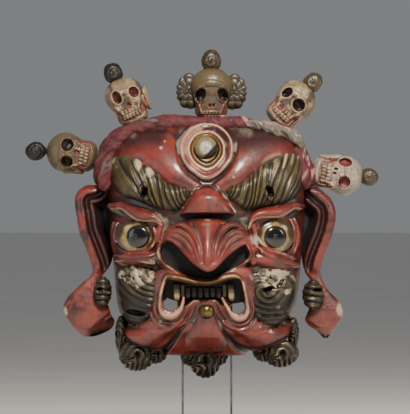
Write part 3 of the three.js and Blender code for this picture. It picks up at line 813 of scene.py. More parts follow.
def pad(front_points, back_points):
    """A closed body from a front and a back grid of the same size, joined round their edges."""
    rows, columns = front_points.shape[:2]
    n = rows * columns
    quads = grid_quads(rows, columns)
    top, bottom = np.arange(columns), (rows - 1) * columns + np.arange(columns)
    left, right = np.arange(rows) * columns, np.arange(rows) * columns + columns - 1
    loop = np.concatenate([top[:-1], right[:-1], bottom[:0:-1], left[:0:-1]])
    after = np.roll(loop, -1)
    edge = np.stack([loop, loop + n, after + n, after], 1)
    points = np.vstack([front_points.reshape(-1, 3), back_points.reshape(-1, 3)])
    return points, [np.vstack([quads, quads[:, ::-1] + n, edge])]


def doubled(masks):
    """Masks for a pad: the back sheet takes the front sheet's values."""
    return {name: np.concatenate([np.ravel(v), np.ravel(v)]) for name, v in masks.items()}


def locks(phase, sharp=0.55):
    """Rounded locks side by side: |cos(pi * phase)|^sharp is 1 on each lock and 0 in the grooves between."""
    return np.abs(np.cos(np.pi * phase)) ** sharp


small_pad = pad(np.zeros((3, 3, 3)), np.ones((3, 3, 3)))
print("a pad of 3 x 3 places has", len(small_pad[1][0]), "faces")

# %% [markdown]
# A brow is one flame of hair, combed outward from a point by the nose. Its locks are cut by the same gouge,
# but never evenly: `pitch` says how many locks there are up to each part of its length. A small curl is
# pierced in the middle.

# %% Brows
CURL_RIM = [(-0.2, 10), (0.9, 4), (1.0, -4), (0.2, -10)]  # down one side: share of its reach, and height
BROWS = {
    "brow_left": {
        "top": [
            (-19, 51), (-23, 56), (-27, 58.5), (-34, 57.5), (-46, 60), (-54, 69), (-65, 77), (-78, 86),
            (-90, 91), (-103, 91), (-114, 86),
        ],
        "bottom": [
            (-19, 46), (-22, 38), (-28, 31), (-36, 27), (-46, 27.5), (-54, 29.5), (-62, 31.5), (-70, 35),
            (-80, 39), (-97, 45), (-115, 60),
        ],
        "curl": (-70.5, 49.0),
        "pitch": [(0, 0), (0.2, 3.6), (0.45, 7.0), (0.6, 8.8), (1.2, 14.0)],
        "seed": 5,
    },
    "brow_right": {
        "top": [
            (22, 51), (25, 55.5), (29, 58), (39, 60.5), (47, 68), (55, 75), (68, 85), (80, 91),
            (93, 92.5), (104, 91), (112, 82),
        ],
        "bottom": [
            (23, 48), (26, 42), (33, 36), (42, 28.5), (52, 29), (59, 31), (68, 33), (78, 34.5), (88, 37),
            (102, 44), (113, 61),
        ],
        "curl": (71.2, 50.0),
        "pitch": [(0, 0), (0.2, 3.6), (0.45, 7.4), (0.6, 10.0), (1.2, 18.0)],
        "seed": 8,
    },
}


def brow(name, top, bottom, curl, pitch, seed):
    """Locks run from the lower edge to the upper one, leaning outward, and crowd towards the inner tip."""
    across, up = 210, 72
    curl_x, curl_z = curl
    hand = math.copysign(1, curl_x)
    u = np.linspace(0, 1, across + 1)[None, :]
    v = np.linspace(0, 1, up + 1)[:, None]
    upper, lower = spline(top, across + 1), spline(bottom, across + 1)
    lean = u + 0.17 * (1 - v) ** 1.6
    knots = np.array(pitch)
    wave = 0.5 * lattice_noise(lean * 60, v * 10, 9, seed)
    wave = wave + 0.2 * lattice_noise(lean * 60, v * 10, 4, seed + 1)
    phase = np.interp(lean, knots[:, 0], knots[:, 1]) + wave
    lock = locks(phase, 0.62) * (0.72 + 0.28 * lattice_noise(np.floor(phase + 0.5) * 3.7, 0 * v, 3, seed + 3))
    thread = locks(phase * 3 + 0.5 + 0.3 * lattice_noise(lean * 60, v * 12, 5, seed + 2), 0.9)
    tip = (lock - 0.5) * 4.2 * smoothstep(0.78, 1, v)
    x = mix(lower[:, 0], upper[:, 0], v)
    z = mix(lower[:, 1], upper[:, 1], v) + tip
    arc = np.clip(1 - np.abs(2 * v - 1) ** 3.2, 0, 1) ** 0.5
    ends = np.clip(1 - np.abs(2 * u - 1) ** 9, 0, 1) ** 0.5
    body = arc * ends
    taper = mix(0.62, 1, smoothstep(0, 0.35, u)) * (1 + 0.12 * (v - 0.5))
    bold = 0.5 + 0.5 * np.minimum(1, u * 2.5)
    height = -3.5 + body * (10.5 * taper + 6.4 * lock * bold + 1.3 * thread * bold)
    hole = mound(x, z, curl_x, curl_z, 3.4, 7.5, 28 * hand, 0.6)
    right_rim = [(curl_x + s * 5.2, curl_z + h, 2.2, 3.0) for s, h in CURL_RIM]
    left_rim = [(curl_x - s * 5.2, curl_z - h, 2.2, 2.4) for s, h in CURL_RIM]
    rim = np.maximum(ridge(x, z, right_rim, 0.6), ridge(x, z, left_rim, 0.6))
    height = height + rim * body - 8.5 * hole
    y = dome_y(x, z) - height
    front_points = np.stack([x, y, z], -1)
    back_points = np.stack([x, dome_y(x, z) + 2.5 + 0 * height, z], -1)
    patchy = patches(x, z, 12, seed + 9)
    # Painted shade: the grooves between locks and threads, the lower half of the brow and the curl's pit are
    # darkened.
    grooves = smoothstep(0.6, 0.25, lock) * (1 - hole)
    rubbed = smoothstep(0.6, 0.85, lock) * smoothstep(0.35, 0.9, v)
    chipped = mound(x, z, 71 * hand, 77, 15, 9, 40 * hand, 0.5)
    masks = {
        "deep": grooves + 0.5 * smoothstep(0.5, 0.0, v + 0 * u) + 0.35 * smoothstep(0.5, 0.1, thread),
        "dark": np.maximum(hole**0.5, smoothstep(0.3, 0.04, lock) * (0.45 + 0.4 * patchy)),
        "cream": rubbed * smoothstep(0.3, 0.75, patchy) * 0.85,
        "bare": chipped * smoothstep(-0.1, 0.4, patchy) * (0.5 if hand > 0 else 1),
        "dirt": smoothstep(0.86, 0.97, v + 0 * u) * 0.8 * smoothstep(0.1, 0.5, patchy),
    }
    points, faces = pad(front_points, back_points)
    return build(name, points, faces, doubled(masks))


for name, places in BROWS.items():
    brow(name, **places)

# %% [markdown]
# The whorls on the cheeks are hair too: arcs that wind round a pit, chipped down to their pale ground on
# the side that faces the nose and the light.

# %% Cheek whorls
WHORLS = {
    "whorl_left": {
        "edge": [
            (-103, -38), (-88, -33), (-70, -34), (-58, -39), (-54, -55), (-55, -72), (-60, -88),
            (-70, -99), (-84, -103), (-97, -95), (-103, -78), (-105, -55),
        ],
        "eye": (-47, -36), "pit": (-81, -87, 12, 3.4, -8),
        "roll": [(-97, -86, 3.5, 3), (-88, -93, 5, 5.5), (-76, -96, 5.5, 6), (-65, -91, 4, 4)],
        "pale": (-79, -45, 27, 15, 0), "seed": 21, "pitch": 7.4, "arms": 0,
    },
    "whorl_right": {
        "edge": [
            (47, -42), (58, -36), (76, -35), (92, -38), (101, -48), (102, -66), (97, -84), (88, -98),
            (72, -106), (57, -100), (48, -84), (44, -62),
        ],
        "eye": (66, -63), "pit": (69, -60, 7, 3.2, 22),
        "roll": [(55, -88, 3, 3), (63, -96, 5, 5), (76, -98, 5.5, 6), (88, -90, 4, 4)],
        "pale": (80, -49, 25, 17, -30), "seed": 27, "pitch": 7.8, "arms": -2,
    },
}


def whorl(name, edge, eye, pit, roll, pale, seed, pitch, arms):
    """A round pad drawn from its middle out to its edge, its locks on circles round the whorl's eye."""
    around, out = 176, 70
    rim = spline(edge, around, closed=True)[:, :2]
    centre = rim.mean(0)
    r = np.linspace(0, 1, out + 1)[1:, None]
    x = centre[0] + (rim[:, 0] - centre[0]) * r
    z = centre[1] + (rim[:, 1] - centre[1]) * r
    far = np.hypot(0.84 * (x - eye[0]), 1.1 * (z - eye[1]))
    turn = np.arctan2(z - eye[1], x - eye[0])
    phase = far / pitch + arms * turn / (2 * np.pi)
    phase = phase + 0.5 * lattice_noise(x, z, 24, seed) + 0.1 * lattice_noise(x, z, 8, seed + 1)
    lock = locks(phase, 0.7) * (0.78 + 0.22 * lattice_noise(x, z, 15, seed + 3))
    thread = locks(phase * 3 + 0.5, 1.0)
    bulge = np.clip(1 - r**3.6, 0, 1) ** 0.5
    rough = smoothstep(0.3, 0.8, patches(x, z, 7, seed + 5))
    lost = mound(x, z, *pale, 1.0) + 0.25 * unevenness(x, z, 9, seed + 4)
    white = smoothstep(0.08, 0.5, lost) * (0.35 + 0.65 * rough)
    height = -3.5 + bulge * (12.5 + 4.6 * lock + 1.1 * thread)
    height = height + ridge(x, z, roll, 0.6) * bulge - 8.5 * mound(x, z, *pit, 0.6) + 0.7 * rough * white
    chips = smoothstep(0.62, 0.86, patches(x, z, 4.2, seed + 6)) * white
    height = height - 0.9 * chips
    front_points = np.stack([x, dome_y(x, z) - height, z], -1)
    back_points = np.stack([x, dome_y(x, z) + 2.5 + 0 * height, z], -1)
    count = front_points.shape[0] * around
    tip_front = np.array([[*centre, 0]])[:, [0, 2, 1]]
    tip_front[0, 1] = front_points[0, :, 1].mean()
    tip_back = tip_front.copy()
    tip_back[0, 1] = back_points[0, :, 1].mean()
    quads = grid_quads(out, around, wrap_columns=True)
    ends = np.arange(around) + (out - 1) * around
    edge_quads = np.stack([ends, ends + count, np.roll(ends, -1) + count, np.roll(ends, -1)], 1)
    first = np.arange(around)
    points = np.vstack([front_points.reshape(-1, 3), back_points.reshape(-1, 3), tip_front, tip_back])
    faces = [
        np.vstack([quads, quads[:, ::-1] + count, edge_quads[:, ::-1]]),
        np.vstack([fan(first, 2 * count)[:, ::-1], fan(first + count, 2 * count + 1)]),
    ]
    patchy = patches(x, z, 10, seed + 9)
    # Painted shade: the grooves, the pit and the lower part are darkened; the black in the chips is lost
    # paint.
    grooves = smoothstep(0.35, 0.1, lock) * (0.2 + 0.5 * patchy) * (1 - 0.5 * white)
    masks = {
        "deep": np.maximum(smoothstep(0.85, 0.3, lock), 0.8 * smoothstep(-50, -80, z)),
        "dark": np.maximum(mound(x, z, *pit, 0.4), grooves) + chips * 0.9,
        "cream": smoothstep(0.85, 1.0, lock) * smoothstep(0.5, 1.0, patchy) * 0.4,
        "bare": white * (1 - 0.8 * chips) * (0.55 + 0.45 * patchy),
        "dirt": 0.4 * smoothstep(0.6, 1, patchy) * (1 - white),
    }
    masks = {mask: np.concatenate([v.ravel(), v.ravel(), [v[0].mean()] * 2]) for mask, v in masks.items()}
    return build(name, points, faces, masks)


for name, places in WHORLS.items():
    whorl(name, **places)

# %% [markdown]
# ## Eyes and mouth
# The eyeballs were set in before the lids were laid over them. An eyeball and the third eye's ball are
# turned shapes: a profile carried once round, with the iris painted on by distance from the middle.

# %% Turned shapes


def turned(centre, radii, around=72, rings=36):
    """An ellipsoid as rings round the front-to-back axis: places, faces, and each place on the unit ball."""
    a = np.linspace(0, np.pi, rings + 1)[1:-1, None]
    t = np.linspace(0, 2 * np.pi, around, endpoint=False)[None, :]
    unit = np.stack([np.sin(a) * np.cos(t), -np.cos(a) + 0 * t, np.sin(a) * np.sin(t)], -1).reshape(-1, 3)
    unit = np.vstack([unit, (0, -1, 0), (0, 1, 0)])
    quads = grid_quads(rings - 1, around, wrap_columns=True)
    return unit * radii + centre, [quads, end_caps(rings - 1, around)[:, ::-1]], unit


def joined(parts):
    """Several closed bodies as one set of places, faces and masks."""
    points, faces, masks, start = [], [], {}, 0
    names = {name for _, _, own in parts for name in own}
    for own_points, own_faces, own in parts:
        if sum(volume(own_points - own_points.mean(0), f) for f in own_faces) < 0:
            own_faces = [f[:, ::-1] for f in own_faces]
        points.append(own_points)
        faces += [f + start for f in own_faces]
        for name in names:
            masks.setdefault(name, []).append(np.broadcast_to(np.ravel(own.get(name, 0.0)), len(own_points)))
        start += len(own_points)
    return np.vstack(points), faces, {name: np.concatenate(v) for name, v in masks.items()}


def within_wall(points):
    """Press whatever lies behind the shell's middle forward into its wall, so that nothing shows inside."""
    depth = dome_y(points[:, 0], points[:, 2]) + 4.6
    return np.stack([points[:, 0], np.minimum(points[:, 1], depth), points[:, 2]], 1)


print("a turned ball has", len(turned((0, 0, 0), (1, 1, 1))[0]), "points")

# %% [markdown]
# Each eyeball lies along the slope of the dome and swells forward over its iris, which is painted on with
# a large pupil. The enamel has yellowed, and it is painted brown next to the lids as their shade.

# %% Eyeballs
IRIS = {"left": (-77.9, -1.0, 13.2, 8.2), "right": (77.0, -1.4, 12.8, 8.0)}
for side, (cx, cz, half_x, half_z) in EYES.items():
    front_y = float(dome_y(cx, cz)) - 9.0
    points, faces, unit = turned((cx, front_y + 6.6, cz), (half_x + 1.5, 6.6, half_z + 3), 80, 48)
    points[:, 1] += 0.5 * (dome_y(points[:, 0], points[:, 2]) - dome_y(cx, cz))
    points = within_wall(points)
    ix, iz, iris_r, pupil_r = IRIS[side]
    away = np.hypot(points[:, 0] - ix, points[:, 2] - iz)
    points[:, 1] -= 2.2 * smoothstep(iris_r + 1.2, iris_r - 3.5, away) * (unit[:, 1] < 0)
    rays = np.arctan2(points[:, 2] - iz, points[:, 0] - ix)
    # Painted shade: the enamel darkens towards the lids, most under the upper lid.
    to_lid = np.hypot(unit[:, 0], 0.8 * unit[:, 2]) + 0.05 * np.sin(rays * 7) + 0.12 * unit[:, 2]
    painted = {
        "iris": smoothstep(iris_r + 0.6, iris_r - 0.6, away),
        "pupil": smoothstep(pupil_r + 1.6, pupil_r - 0.6, away),
        "edge": smoothstep(0.45, 0.95, to_lid),
    }
    build(f"eyeball_{side}", points, faces, painted)

# %% [markdown]
# The third eye has no iris: its ball was silvered, and the silvering has gone chalky, with a black crescent
# where the lower right side has lost it.

# %% The third eye's ball
ball_x, ball_z = THIRD_EYE[0] - 1.0, THIRD_EYE[1] + 1.5
ball_y = float(dome_y(ball_x, ball_z)) - 5
points, faces, unit = turned((ball_x, ball_y, ball_z), (13, 9.5, 13), 80, 48)
points = within_wall(points)
lumps = unevenness(points[:, 0], points[:, 2], 6, 91)
points[:, 1] -= 0.5 * lumps
crescent = smoothstep(9.5, 11, np.hypot(points[:, 0] - ball_x + 3.5, points[:, 2] - ball_z - 3.5))
crescent = crescent * smoothstep(0.3, 0.9, unit[:, 0] - unit[:, 2])
worn = {
    "dark": np.maximum(crescent, smoothstep(0.9, 1.2, 0.5 + 0.5 * lumps)),
    "dirt": smoothstep(0.3, 0.8, np.hypot(unit[:, 0], unit[:, 2])),
}
build("third_eye_ball", points, faces, worn)

# %% [markdown]
# The teeth are short pegs in one row, with a fang and a small tooth at each corner. They stay behind the
# lip's edge, in its shadow, and each is a squared ring carried down a short line.

# %% Teeth and fangs
mouth_y = float(dome_y(0, -64))


def peg(x, top, bottom, half, front_y, lean=0.0, point=0.5):
    """A tapering tooth, squared rings down a short line: places, faces and how far down each place is."""
    rings, around = 20, 30
    v = np.linspace(0, 1, rings)[:, None]
    t = np.linspace(0, 2 * np.pi, around, endpoint=False)[None, :]
    width = half * (1 - (1 - point) * v**2.2) * np.clip(1 - np.abs(2 * v - 1) ** 12, 0, 1) ** 0.3
    cross = np.abs(np.cos(t)) ** 0.6 * np.sign(np.cos(t)), np.abs(np.sin(t)) ** 0.6 * np.sign(np.sin(t))
    px = x + lean * v + width * cross[0]
    py = front_y + 5 + width * 1.1 * cross[1]
    pz = mix(top, bottom, v) + 0 * t
    points = np.stack([px, py, pz], -1).reshape(-1, 3)
    points = np.vstack([points, (x, front_y + 5, top), (x + lean, front_y + 5, bottom)])
    quads = grid_quads(rings, around, wrap_columns=True)
    return points, [quads, end_caps(rings, around)], np.concatenate([np.repeat(v, around), (0, 1)])


teeth = []
for k, x in enumerate(np.linspace(-21.5, 13.5, 6)):
    points, faces, down = peg(x, -57.5, -70.5 + 0.6 * math.sin(k * 2.1), 3.3, mouth_y - 6, point=0.85)
    # Painted shade: the row is darkened, most under the lip.
    dark = 0.35 + 0.65 * smoothstep(0.7, 0.3, down)
    teeth.append((points, faces, {"deep": np.maximum(0.8, smoothstep(0.9, 0.4, down)), "dark": dark}))
for x in (-34.6, 26.8):
    points, faces, down = peg(x, -53, -74, 4.0, mouth_y - 9, 0.8, point=0.75)
    rubbed = smoothstep(0.4, 0.65, down) * smoothstep(1, 0.75, down) * 0.5
    # Painted shade at the fang's root under the lip.
    teeth.append((points, faces, {"deep": smoothstep(0.6, 0.1, down), "cream": rubbed}))
for x in (-27.6, 19.8):
    points, faces, down = peg(x, -54, -69.5, 2.4, mouth_y - 7.5, point=0.9)
    # Painted shade over the small teeth.
    teeth.append((points, faces, {"deep": 0.5 * np.ones_like(down)}))
points, faces, masks = joined(teeth)
build("teeth", points, faces, masks)

# %% [markdown]
# A round boss sits on the chin, just under the lip. It was gilded like the teeth, and it is the one place
# that is still bright.

# %% The chin's boss
boss_y = float(dome_y(-0.7, -84.3)) - 17
points, faces, unit = turned((-0.7, boss_y, -84.6), (9.0, 9.5, 9.0), 64, 40)
# Painted shade towards the ball's rim.
rim_shade = {"deep": smoothstep(0.8, 1.0, np.hypot(unit[:, 0], unit[:, 2]))}
build("chin_boss", points, faces, rim_shade)

# %% [markdown]
# ## Ears, side curls, beard and crown roll
# Each ear is a plate hung from the shell's rim, hollowed inside its rolled edge, with a long lobe that
# swells into a plug. It is drawn as level slices from top to bottom, each a rounded bar between two edges.

# %% Ears
EARS = {
    "left": {
        "outer": [
            (-131, 58.5), (-139, 57), (-146, 52.5), (-150.5, 45), (-151.3, 36), (-149, 21), (-146, 3),
            (-140, -13), (-134, -29), (-131, -40), (-134, -47), (-141, -52.5), (-150, -61), (-159, -70),
            (-164, -80), (-164.5, -90), (-159, -99), (-151, -109), (-139, -116.5),
        ],
        "inner": [
            (-121, 58.5), (-110, 52), (-107, 40), (-106, 20), (-106, 0), (-108, -25), (-113, -38),
            (-121, -48), (-124, -58), (-120, -69), (-113, -80), (-110, -90), (-106, -98), (-110, -107),
            (-124, -114), (-136, -116.5),
        ],
        "facet": [(-166, -84), (-152, -103), (-138.5, -108), (-123, -96), (-112, -88), (-100, -80)],
        "worn": (-163, -88, 6, 11, 0.4, 0.8), "seed": 201,
    },
    "right": {
        "outer": [
            (124, 57.5), (133, 50), (141.5, 42.5), (146.6, 31), (147.2, 18), (143.5, 1), (138, -14),
            (132, -30), (129.7, -43), (133, -53), (139, -63), (149, -73), (154, -81.5), (155.3, -91.4),
            (149, -103), (145, -109), (137, -118),
        ],
        "inner": [
            (118, 57.5), (110, 48), (107, 30), (106, 11), (107, -10), (109, -30), (113, -44), (121, -55),
            (123, -66), (119, -78), (114, -90), (112, -97), (116, -103), (126, -110), (134, -118),
        ],
        "facet": [(100, -90), (117, -97), (127, -103.5), (138, -106), (147, -101), (158, -94)],
        "worn": (153, -85, 9, 16, 0.3, 1.0), "seed": 207,
    },
}
EAR_Y = -26.0


def ear(side, outer, inner, facet, worn, seed):
    """Level slices between an inner and an outer edge, the front hollowed by distance from the outer one."""
    rows, around = 170, 116
    out_line, in_line = spline(outer, 300), spline(inner, 300)
    top, bottom = out_line[0, 1], out_line[-1, 1]
    z = mix(top, bottom, smoothstep(-0.04, 1.04, np.linspace(0, 1, rows)))[:, None]
    x_out = np.interp(-z, -out_line[:, 1], out_line[:, 0])
    x_in = np.interp(-z, -in_line[:, 1], in_line[:, 0])
    t = np.linspace(0, 2 * np.pi, around, endpoint=False)[None, :]
    squash = lambda v, p: np.sign(v) * np.abs(v) ** p
    x = (x_out + x_in) / 2 + (x_out - x_in) / 2 * squash(np.cos(t), 0.8)
    ahead = np.maximum(np.sin(t), 0)
    z = z + 0 * t
    d, _ = nearest(x, z, out_line[::4])
    upper = smoothstep(-46, -34, z) * smoothstep(59, 52, z) ** 0.5
    thick = np.interp(-z, [-58, -50, 0, 30, 45, 60, 85, 105, 118], [4, 9, 10, 9, 8, 11, 14, 12, 4])
    cut = spline(facet, 80)
    below = np.clip(np.interp(x, cut[:, 0], cut[:, 1]) - z, 0, 30)
    below = below * smoothstep(-70, -80, z)
    shape = 5.0 * ring(d, 6, 7) - 3.5 * ring(d, 14, 4) + 2 * ring(d, 19, 4) - 18 * smoothstep(20, 32, d)
    rounded = squash(ahead, 0.4)
    front_y = EAR_Y - thick * squash(ahead, 0.45) - shape * upper * rounded + 0.75 * below * rounded
    back_y = EAR_Y + 9 * squash(np.maximum(-np.sin(t), 0), 0.5)
    lumps = unevenness(x, z, 18, seed)
    y = np.where(np.sin(t) >= 0, front_y, back_y) - 0.8 * lumps * (np.sin(t) > 0)
    points = np.stack([x, y, z], -1).reshape(-1, 3)
    n = rows * around
    points = np.vstack([points, points[:around].mean(0), points[n - around : n].mean(0)])
    quads = grid_quads(rows, around, wrap_columns=True)
    patchy = patches(x, z, 12, 211)
    rim = smoothstep(1.6, 4.6, below) * smoothstep(9, 5, below)
    worn_x, worn_z, half_x, half_z, solid, amount = worn
    rubbed = amount * smoothstep(0.9, solid, np.hypot((x - worn_x) / half_x, (z - worn_z) / half_z))
    hollow = np.maximum(smoothstep(15, 24, d), 0.8 * ring(d, 14, 5)) * upper
    groove = 0.4 * ring(d, 15, 3) * upper
    # Painted shade: the hollow inside the rolled edge, the whole ear a little and unevenly, the underside of
    # the lobe below its facet, and the back.
    masks = {
        "deep": hollow + 0.3 + 0.4 * smoothstep(0.5, 0.9, patchy),
        "dark": 0.95 * smoothstep(19, 28, d) * upper + 0.5 * smoothstep(5, 12, below) + (y > EAR_Y + 2) * 0.3,
        "cream": 0.5 * rim * smoothstep(0.3, 0.8, patchy),
        "dirt": groove * smoothstep(0.5, 0.9, patchy) + 0.3 * smoothstep(0.8, 1.1, patchy),
        "bare": rubbed * (0.45 + 0.5 * smoothstep(0.2, 0.8, patchy)),
    }
    return build(f"ear_{side}", points, [quads, end_caps(rows, around)], with_tips(masks))


for side, places in EARS.items():
    ear(side, **places)

# %% [markdown]
# Beard and side curls are the same kind of thing at different sizes: a rounded mass with locks cut into
# its front, each lock following circles round a small pit. Each row gives the middle, the half-sizes, the
# pit's place and half-sizes, the locks' pitch and the seed of their unevenness.

# %% Beard and side curls
TUFTS = {
    "beard_middle": ((-2, -44, -144), (17, 17, 18), (-2, -141, 2.6, 4.6), 6.6, 31),
    "beard_middle_left": ((-17, -42, -138), (13, 14, 11), (-14, -140, 2, 3), 5.4, 33),
    "beard_middle_right": ((13, -42, -138), (11, 14, 10), (9, -137, 1.6, 3), 5.0, 35),
    "beard_left": ((-80, -46, -136), (20, 18, 18), (-79, -136, 2.4, 4.4), 6.4, 37),
    "beard_left_inner": ((-60, -44, -133), (15, 14, 13), (-56, -132, 1.6, 3.4), 5.4, 38),
    "beard_right": ((84, -46, -134), (20, 18, 16), (86, -134, 2.4, 4), 6.4, 39),
    "beard_right_inner": ((66, -44, -132), (14, 14, 12), (64, -131, 1.4, 3), 5.4, 40),
    "side_lock_left": ((-98, -36, -114), (7, 14, 22), (-103, -112, 1.4, 4), 6.0, 41),
    "side_lock_right": ((98.5, -36, -112), (6.5, 13, 19), (104, -108, 1.4, 4), 6.0, 43),
    "ear_curl_left": ((-119, -36, -64), (10, 12, 17), (-122, -61, 3, 2), 6.4, 45),
    "ear_curl_right": ((121, -38, -68), (12, 13, 17), (126, -62, 6, 1.8), 7.2, 47),
}


def tuft(name, centre, radii, pit, pitch, seed):
    """A rounded mass cut into locks that run round a pit and hang straight below it; an ear's lie level."""
    around, rings = 104, 58
    points, faces, unit = turned((0, 0, 0), radii, around, rings)
    x, z = points[:, 0] + centre[0], points[:, 2] + centre[2]
    under = smoothstep(0, -radii[2] * 0.6, z - pit[1])
    far = np.hypot(x - pit[0], z - pit[1])
    strands = (x - pit[0]) / (pitch * 0.75)
    phase = mix(far / pitch, strands, under * 0.85) + 0.15 * unevenness(x, z, 22, seed)
    if name.startswith("ear"):
        phase = (z - pit[1]) / pitch + 0.1 * (x - pit[0]) / pitch + 0.5
    lock = locks(phase, 0.6)
    grow = 1 + 0.10 * (lock - 0.5) * smoothstep(0.3, 0.9, np.hypot(unit[:, 0], unit[:, 2]))
    points[:, 0] *= grow
    points[:, 2] *= grow
    ahead = smoothstep(0.1, -0.4, unit[:, 1])
    hole = mound(x, z, *pit, 0, 0.5)
    points[:, 1] -= (3.6 * lock + 0.5 * locks(phase * 3, 1) - 6 * hole) * ahead
    patchy = patches(x, z, 8, seed + 1)
    # Painted shade: the grooves, the pit and the back are darkened.
    masks = {
        "deep": np.maximum(smoothstep(0.85, 0.4, lock), 0.6 + 0.3 * (1 - ahead)),
        "dark": np.maximum(hole**0.5, smoothstep(0.3, 0.05, lock) * (0.25 + 0.5 * patchy)),
        "cream": 0.5 * smoothstep(0.85, 1, lock) * smoothstep(0.4, 0.9, patchy) * ahead,
        "dirt": 0.25 * smoothstep(0.6, 1.0, patchy),
    }
    return build(name, points + centre, faces, masks)


for name, sizes in TUFTS.items():
    tuft(name, *sizes)

# %% [markdown]
# A roll of red cloth was sewn over the top of the rim, with a second behind it that carries the skulls.
# Each is a tube along a path, with creases worked into its radius.

# %% Crown rolls


def tube(path, radius, along, around, crease, seed, depth):
    """A soft tube along a path in the plane y = depth. A path of few places is first made a spline."""
    line = spline(path, along) if len(path) < along else np.asarray(path, float)
    step = np.gradient(line[:, :2], axis=0)
    step /= np.linalg.norm(step, axis=1)[:, None]
    run = distance_along(line)[:, None]
    t = np.linspace(0, 2 * np.pi, around, endpoint=False)[None, :]
    ends = np.clip(1 - np.abs(2 * run / run[-1] - 1) ** 30, 0, 1) ** 0.5
    wrap = unevenness(run + 9 * np.cos(t), 9 * np.sin(t) + 0 * run, crease, seed)
    folds = np.abs(lattice_noise(run + 7 * np.cos(t), 14 * np.sin(t) + 0 * run, crease / 2, seed + 5))
    r = line[:, 2:3] * radius * ends * (1 + 0.12 * wrap - 0.07 * folds) + 0.05
    x = line[:, 0:1] - step[:, 1:2] * r * np.cos(t)
    z = line[:, 1:2] + step[:, 0:1] * r * np.cos(t)
    y = depth + r * np.sin(t) * 1.15
    points = np.stack([x, y, z], -1).reshape(-1, 3)
    points = np.vstack([points, points[:around].mean(0), points[-around:].mean(0)])
    faces = [grid_quads(along, around, wrap_columns=True), end_caps(along, around)]
    return points, faces, np.append(wrap.ravel(), (0, 0)), np.append(folds.ravel(), (0, 0))


BAND_Y, BACK_BAND_Y = -46.0, -20.0
ROLL_HEIGHT = 127.5
ROLL_LEFT = {"reach": 117.5, "power": 4.4}
ROLL_RIGHT = {"reach": 113.5, "power": 3.6}


def outside_shell(points):
    """Push what reaches inside the shell out to the middle of its wall, at each place's own depth."""
    reach = reach_of(points[:, 0], points[:, 2])
    ahead = np.clip(-points[:, 1] / DEPTH, 0, 1)
    middle = (1 - ahead**ROUNDNESS) ** (1 / ROUNDNESS) * (1 - 0.5 * WALL / HALF_HEIGHT)
    grow = np.maximum(middle / np.maximum(reach, 0.1), 1)
    return points * np.stack([grow, np.ones_like(grow), grow], 1)


def roll(name, start, end, radius, depth, seed, out=0.0):
    """A padded roll round the top of the rim: a tube along a superellipse between two angles."""
    along, around = 400, 44
    sweep = np.linspace(start, end, along)
    side = np.cos(sweep)
    reach, power = (np.where(side < 0, ROLL_LEFT[key], ROLL_RIGHT[key]) for key in ("reach", "power"))
    x = (reach + out) * np.sign(side) * np.abs(side) ** (2 / power)
    z = ROLL_HEIGHT * np.abs(np.sin(sweep)) ** (2 / power)
    swell = 1 + 0.10 * np.sin(sweep * 9 + seed) + 0.06 * np.sin(sweep * 23)
    run = distance_along(np.stack([x, z], 1))
    even = np.linspace(0, run[-1], along)
    path = np.stack([np.interp(even, run, values) for values in (x, z, swell)], 1)
    points, faces, wrap, folds = tube(path, radius, along, around, 12, seed, depth)
    points = outside_shell(points)
    x, z = points[:, 0], points[:, 2]
    grey = smoothstep(45, 60, x) * smoothstep(95, 108, z) * smoothstep(0.1, 0.6, 0.5 + 0.5 * wrap)
    # The cream is a painted highlight on the roll's swells, stronger towards the right; the folds take
    # painted shade.
    masks = {
        "dirt": np.maximum(grey, smoothstep(0.6, 0.9, folds) * 0.5),
        "cream": smoothstep(0.1, 0.8, wrap) * (0.35 + 0.65 * smoothstep(-20, 40, x)),
        "deep": smoothstep(0.3, 0.7, folds) * 0.6,
    }
    return build(name, points, faces, masks)


roll("crown_roll", math.pi - 0.13, 0.2, 8.8, BAND_Y, 301)
roll("crown_roll_back", math.pi - 0.17, 0.22, 9.4, BACK_BAND_Y, 307, out=6)

# %% [markdown]
# Where the red cloth has torn away on the right, the grey lining stands up in a crumpled edge.

# %% Frayed lining
LINING_BULGE = 1.5
LINING_PATH = [
    (44, 126.5, 0.7), (56, 124.5, 1.2), (68, 121, 0.9), (80, 118, 1.4),
    (90, 115.5, 1.0), (99, 112, 1.3), (106, 106, 0.9), (110, 99, 0.6),
]
points, faces, wrap, folds = tube(LINING_PATH, 5.6, 220, 44, 7, 311, BAND_Y)
points[:, 2] = points[:, 2] - 2.6 * unevenness(points[:, 0], points[:, 1], 9, 321)
points[:, 1] = (points[:, 1] - BAND_Y) * LINING_BULGE + BAND_Y - 4
points = outside_shell(points)
# Darker in its creases, a painted shade, and paler on its swells.
crumple = {"dark": smoothstep(0.4, 0.8, folds) * 0.55, "cream": smoothstep(0.3, 0.9, wrap) * 0.6}
build("lining_frayed", points, faces, crumple)

# %% [markdown]
# ## The five skulls
# Each skull of the crown is one small carving. It is rings up its own axis, and its front is pressed in at
# the eye sockets and nose and raised at the teeth, in the skull's own tilted frame. Sockets and nose are
# given where they lie on the mask, because they were cut to be seen from the front.

# %% One skull
PROFILE = np.array([
    (-36, 0.0, 0.0), (-35.7, 6.0, 5.0), (-34.5, 11.0, 8.5), (-31.5, 15.4, 12.5), (-27, 17.8, 15.2),
    (-22, 18.2, 16.4), (-16, 17.8, 16.8), (-9, 20.2, 18.0), (-1, 22.6, 19.8), (7, 22.4, 20.4),
    (14, 18.8, 17.8), (19, 13.4, 13.2), (22, 7.6, 7.8), (23.2, 3.0, 3.0), (23.6, 0.0, 0.0),
])  # height, half-width and half-depth, from chin to crown
SKULL_Y = -13.0
SKULL_ROWS, SKULL_AROUND = 130, 132


def skull_frame(centre, tilt, x, z):
    """A place on the mask as across and up in the tilted skull's own frame."""
    a = math.radians(tilt)
    dx, dz = x - centre[0], z - centre[1]
    return dx * math.cos(a) + dz * math.sin(a), -dx * math.sin(a) + dz * math.cos(a)


